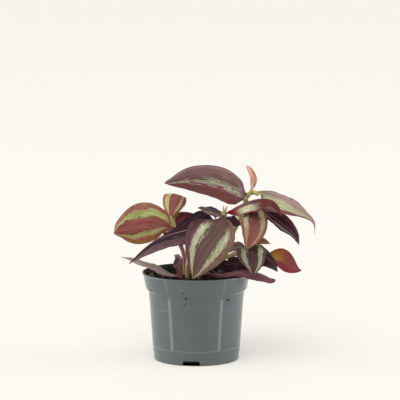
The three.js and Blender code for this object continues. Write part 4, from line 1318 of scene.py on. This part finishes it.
def grow_sheath(shape, leaf, route, name):
    """A thin sleeve round the stem, tight below and open above."""
    middle = sheath_share(leaf, route)
    half = SHEATH_LENGTH / 2 / route.length
    steps = np.linspace(-1, 1, 9)
    shares = np.clip(middle + half * steps, 0, 1)
    stem = stem_radii(name, route, shares)
    flare = (steps + 1) / 2
    outer, inner = (stem + below + above * flare**1.5 for below, above in (SHEATH_OUTER, SHEATH_INNER))
    outside = tube_rings(route, shares, SHEATH_SIDES, outer)
    inside = tube_rings(route, shares, SHEATH_SIDES, inner)[::-1]
    points = np.concatenate([outside, inside])
    sheet = [[f, k / SHEATH_SIDES] for f in np.concatenate([flare, flare[::-1]]) for k in range(SHEATH_SIDES)]
    faces = ring_faces(len(points), SHEATH_SIDES)
    last = (len(points) - 1) * SHEATH_SIDES
    for k in range(SHEATH_SIDES):
        following = (k + 1) % SHEATH_SIDES
        faces.append((last + k, last + following, following, k))
    blush = float(along_stem(name, "blush", middle))
    shape.add(points, faces, 2, sheet, blush=blush)

    draw = random.Random(name + str(leaf["back"]))
    ahead = route.tangents(shares[-1])[0]
    ring = outside[-1]
    for spot in ring[:: SHEATH_SIDES // HAIRS]:
        out = (spot - ring.mean(0)) / outer[-1]
        way = ahead + out * draw.uniform(0.1, 0.7)
        beside = np.cross(ahead, out) * HAIR_WIDTH
        foot = [spot + beside, spot - beside, spot - out * HAIR_WIDTH * 1.5]
        tip = spot + way * HAIR_LENGTH * draw.uniform(0.6, 1.2)
        shape.add(foot + [tip], [(0, 1, 3), (1, 2, 3), (2, 0, 3), (2, 1, 0)], 2, [[1, 0.5]] * 4, blush=blush)


def make_leaves():
    """Every leaf: a blade that grows out of a sheath round its stem."""
    effects = {"upper": striped_effect(), "underside": underside_effect(), "sheath": sheath_finish()}
    slots = {part["node"]: part["material_slot"] for part in frame["record"]["subparts"]}
    for seed, (name, entry) in enumerate(LEAVES.items(), 1):
        leaf = {**PLAIN_LEAF, **entry, "seed": seed}
        stem = Route(STEMS[leaf["stem"]]["path"])
        share = sheath_share(leaf, stem)
        route = Route([stem.places(share)[0].tolist()] + leaf["rib"])
        start = 0.7 * along_stem(leaf["stem"], "radius", share) / route.length
        shape = Shape()
        grow_blade(shape, leaf, route, start)
        grow_sheath(shape, leaf, stem, leaf["stem"])
        piece = shape.build(name.removeprefix("leaf_") + "_leaf", leaf_finishes(name, leaf, effects), 50)
        settle(piece, slots[name], name)


def make_stage():
    """The floor, the studio light and the camera."""
    settings = bpy.context.scene.inch_plant_stage
    scene = bpy.context.scene
    shape = Shape()
    rim = circle(FLOOR_RADIUS / MM, 0, np.linspace(0, 2 * np.pi, FLOOR_SIDES, endpoint=False))
    shape.add(rim, [tuple(range(FLOOR_SIDES))])
    material, w = new_finish("studio_floor")
    cloud = w.grain(w.place(), 3.0) * 0.05
    # Painted shadow under the pot: there the floor is dark and gives no glow.
    lit = w.rise(w.reach(w.place()), *FLOOR_LIT)
    pale = w.mix(cloud, tuple(settings.floor), FLOOR_CLOUD)
    coat(w, w.mix(lit, FLOOR_SHADOW, pale), 0.7, specular_ior_level=0.1,
         emission_color=w.mix(lit, (0, 0, 0, 1), tuple(settings.glow)), emission_strength=settings.floor_glow)
    floor = shape.build("floor", [material])

    world = bpy.data.worlds.new("studio")
    world.use_nodes = True
    sky = world.node_tree.nodes["Background"]
    sky.inputs["Color"].default_value = SKY_COLOR
    sky.inputs["Strength"].default_value = settings.fill
    scene.world = world

    def lamp(name, kind, place, turn, **values):
        light = bpy.data.lights.new(name, kind)
        for label, value in values.items():
            setattr(light, label, value)
        made = bpy.data.objects.new(name, light)
        made.location = place
        made.rotation_euler = turn
        scene.collection.objects.link(made)

    tilt, turn, angle = (math.radians(getattr(settings, "key_" + part)) for part in ("tilt", "turn", "angle"))
    lamp("overhead_softbox", "SUN", (0, 0, 0), (tilt, 0, turn), energy=settings.key, angle=angle)
    across = math.radians(settings.strip_angle)
    for name, side in (("left_softbox", -1), ("right_softbox", 1)):
        place = Vector((side * math.sin(across) * STRIP_REACH, -math.cos(across) * STRIP_REACH, STRIP_HEIGHT))
        turn = (Vector((0, 0, STRIP_AIM)) - place).to_track_quat("-Z", "Y").to_euler()
        lamp(name, "AREA", place, turn, shape="RECTANGLE", size=STRIP_SIZE[0], size_y=STRIP_SIZE[1],
             energy=settings.strip)

    camera = bpy.data.cameras.new("camera")
    camera.sensor_width = SENSOR_WIDTH
    camera.lens = SENSOR_WIDTH * settings.focal_pixels / PICTURE_WIDTH
    camera.clip_start, camera.clip_end = CAMERA_CLIP
    tilt = math.radians(settings.elevation)
    aim = Vector(settings.aim)
    view = bpy.data.objects.new("camera", camera)
    view.location = aim + Vector((0, -math.cos(tilt), math.sin(tilt))) * settings.distance
    view.rotation_euler = (math.pi / 2 - tilt, 0, 0)
    scene.collection.objects.link(view)
    scene.camera = view
    scene.view_settings.view_transform = "Standard"


# Add-on


def color_property(name, description, code):
    return bpy.props.FloatVectorProperty(
        name=name, description=description, subtype="COLOR", size=4, min=0, max=1, default=linear(code))


def number_property(name, description, default, **more):
    return bpy.props.FloatProperty(name=name, description=description, default=default, **more)


def length_property(name, description, default):
    return number_property(name, description, default, unit="LENGTH", precision=5)


class PotSettings(bpy.types.PropertyGroup):
    color: color_property("Plastic", "Colour of the pot's plastic", 0x565F61)
    # Painted highlight: the paler colour of the highlight streaks and of the mould line.
    worn: color_property("Worn", "Colour of the ribs and the mould line", 0x7C8485)
    roughness: number_property("Roughness", "How dull the plastic is", 0.2, subtype="FACTOR", min=0, max=1)


class SoilSettings(bpy.types.PropertyGroup):
    color: color_property("Soil", "Colour of the moist soil", 0x1D1814)
    crumbs: bpy.props.IntProperty(name="Crumbs", description="Loose lumps on the soil", default=1500, min=0)
    crumb_size: number_property("Crumb size", "Radius of a usual lump in millimetres", 0.95, min=0.1)


class ScrapSettings(bpy.types.PropertyGroup):
    dark: color_property("Dark", "Darker colour of the dried scraps", 0x4E3327)
    light: color_property("Light", "Lighter colour of the dried scraps", 0x9A7350)


class StemSettings(bpy.types.PropertyGroup):
    green: color_property("Green", "Colour of the stem where it is green", 0xBCB668)
    red: color_property("Red", "Colour of the stem where it is flushed red", 0xA4685C)


class LeafSettings(bpy.types.PropertyGroup):
    thickness: length_property("Thickness", "Thickness of a blade", 0.0004)
    ruffle: length_property("Ruffle", "Height of the small ripples of a margin", 0.00014)
    fold: length_property("Folds", "Height of the folds along the main veins", 0.00006)
    stripe_width: number_property("Stripe width", "Width of the silver stripes, as a factor", 1.0, min=0)


class StageSettings(bpy.types.PropertyGroup):
    floor: color_property("Floor", "Colour of the floor", 0xC2C0BB)
    glow: color_property("Glow", "Colour of the light that the floor gives", 0xFFFDF4)
    floor_glow: number_property("Floor glow", "Light that the floor gives", 0.425)
    fill: number_property("Fill light", "Light from all round", 0.52, min=0)
    key: number_property("Overhead light", "Strength of the softbox", 1.5, min=0)
    key_angle: number_property("Softness", "Degrees the softbox spans", 55)
    key_tilt: number_property("Overhead tilt", "Degrees from straight down", 35)
    key_turn: number_property("Overhead turn", "Degrees from the front", -20)
    strip: number_property("Side lights", "Power of each side light", 26.1, min=0)
    strip_angle: number_property("Side angle", "Degrees of the side lights from the camera", 92)
    elevation: number_property("Camera tilt", "Degrees looking down", 8)
    distance: number_property("Camera distance", "From the aim", 1.3, unit="LENGTH")
    focal_pixels: number_property("Focal length in pixels", "For a picture 400 pixels wide", 2341.3)
    aim: bpy.props.FloatVectorProperty(
        name="Camera aim", description="Point in the middle of the picture", subtype="TRANSLATION",
        default=(0.002, 0, 0.0892))


class INCH_PLANT_OT_pot(bpy.types.Operator):
    """Turns the nursery pot and cuts its drain gaps"""

    bl_idname = "inch_plant.pot"
    bl_label = "Make the pot"

    def execute(self, context):
        make_pot()
        return {"FINISHED"}


class INCH_PLANT_OT_soil(bpy.types.Operator):
    """Fills the pot with crumbly soil"""

    bl_idname = "inch_plant.soil"
    bl_label = "Fill in the soil"

    def execute(self, context):
        make_soil()
        return {"FINISHED"}


class INCH_PLANT_OT_scraps(bpy.types.Operator):
    """Lays dried scraps on the soil"""

    bl_idname = "inch_plant.scraps"
    bl_label = "Lay dried scraps"

    def execute(self, context):
        make_scraps()
        return {"FINISHED"}


class INCH_PLANT_OT_stems(bpy.types.Operator):
    """Grows the stems"""

    bl_idname = "inch_plant.stems"
    bl_label = "Grow the stems"

    def execute(self, context):
        make_stems()
        return {"FINISHED"}


class INCH_PLANT_OT_leaves(bpy.types.Operator):
    """Grows every leaf on its stem"""

    bl_idname = "inch_plant.leaves"
    bl_label = "Grow the leaves"

    def execute(self, context):
        make_leaves()
        return {"FINISHED"}


class INCH_PLANT_OT_stage(bpy.types.Operator):
    """Sets the floor, the light and the camera"""

    bl_idname = "inch_plant.stage"
    bl_label = "Set the stage"

    def execute(self, context):
        make_stage()
        return {"FINISHED"}


SETTINGS = {
    "inch_plant_pot": PotSettings,
    "inch_plant_soil": SoilSettings,
    "inch_plant_scraps": ScrapSettings,
    "inch_plant_stems": StemSettings,
    "inch_plant_leaves": LeafSettings,
    "inch_plant_stage": StageSettings,
}
OPERATORS = [
    INCH_PLANT_OT_pot,
    INCH_PLANT_OT_soil,
    INCH_PLANT_OT_scraps,
    INCH_PLANT_OT_stems,
    INCH_PLANT_OT_leaves,
    INCH_PLANT_OT_stage,
]


class INCH_PLANT_PT_panel(bpy.types.Panel):
    """Lists the plant's pieces and their settings"""

    bl_label = "Inch plant"
    bl_idname = "INCH_PLANT_PT_panel"
    bl_space_type = "VIEW_3D"
    bl_region_type = "UI"
    bl_category = "Inch plant"

    def draw(self, context):
        for (label, group), operator in zip(SETTINGS.items(), OPERATORS):
            box = self.layout.box()
            values = getattr(context.scene, label)
            for name in group.__annotations__:
                box.prop(values, name)
            box.operator(operator.bl_idname)


def register():
    for group in [*SETTINGS.values(), *OPERATORS, INCH_PLANT_PT_panel]:
        bpy.utils.register_class(group)
    for label, group in SETTINGS.items():
        setattr(bpy.types.Scene, label, bpy.props.PointerProperty(type=group))


def unregister():
    for label in SETTINGS:
        delattr(bpy.types.Scene, label)
    for group in reversed([*SETTINGS.values(), *OPERATORS, INCH_PLANT_PT_panel]):
        bpy.utils.unregister_class(group)


def main():
    register()
    bpy.ops.inch_plant.stage()
    bpy.ops.inch_plant.pot()
    bpy.ops.inch_plant.soil()
    bpy.ops.inch_plant.scraps()
    bpy.ops.inch_plant.stems()
    bpy.ops.inch_plant.leaves()


if __name__ == "__main__":
    main()
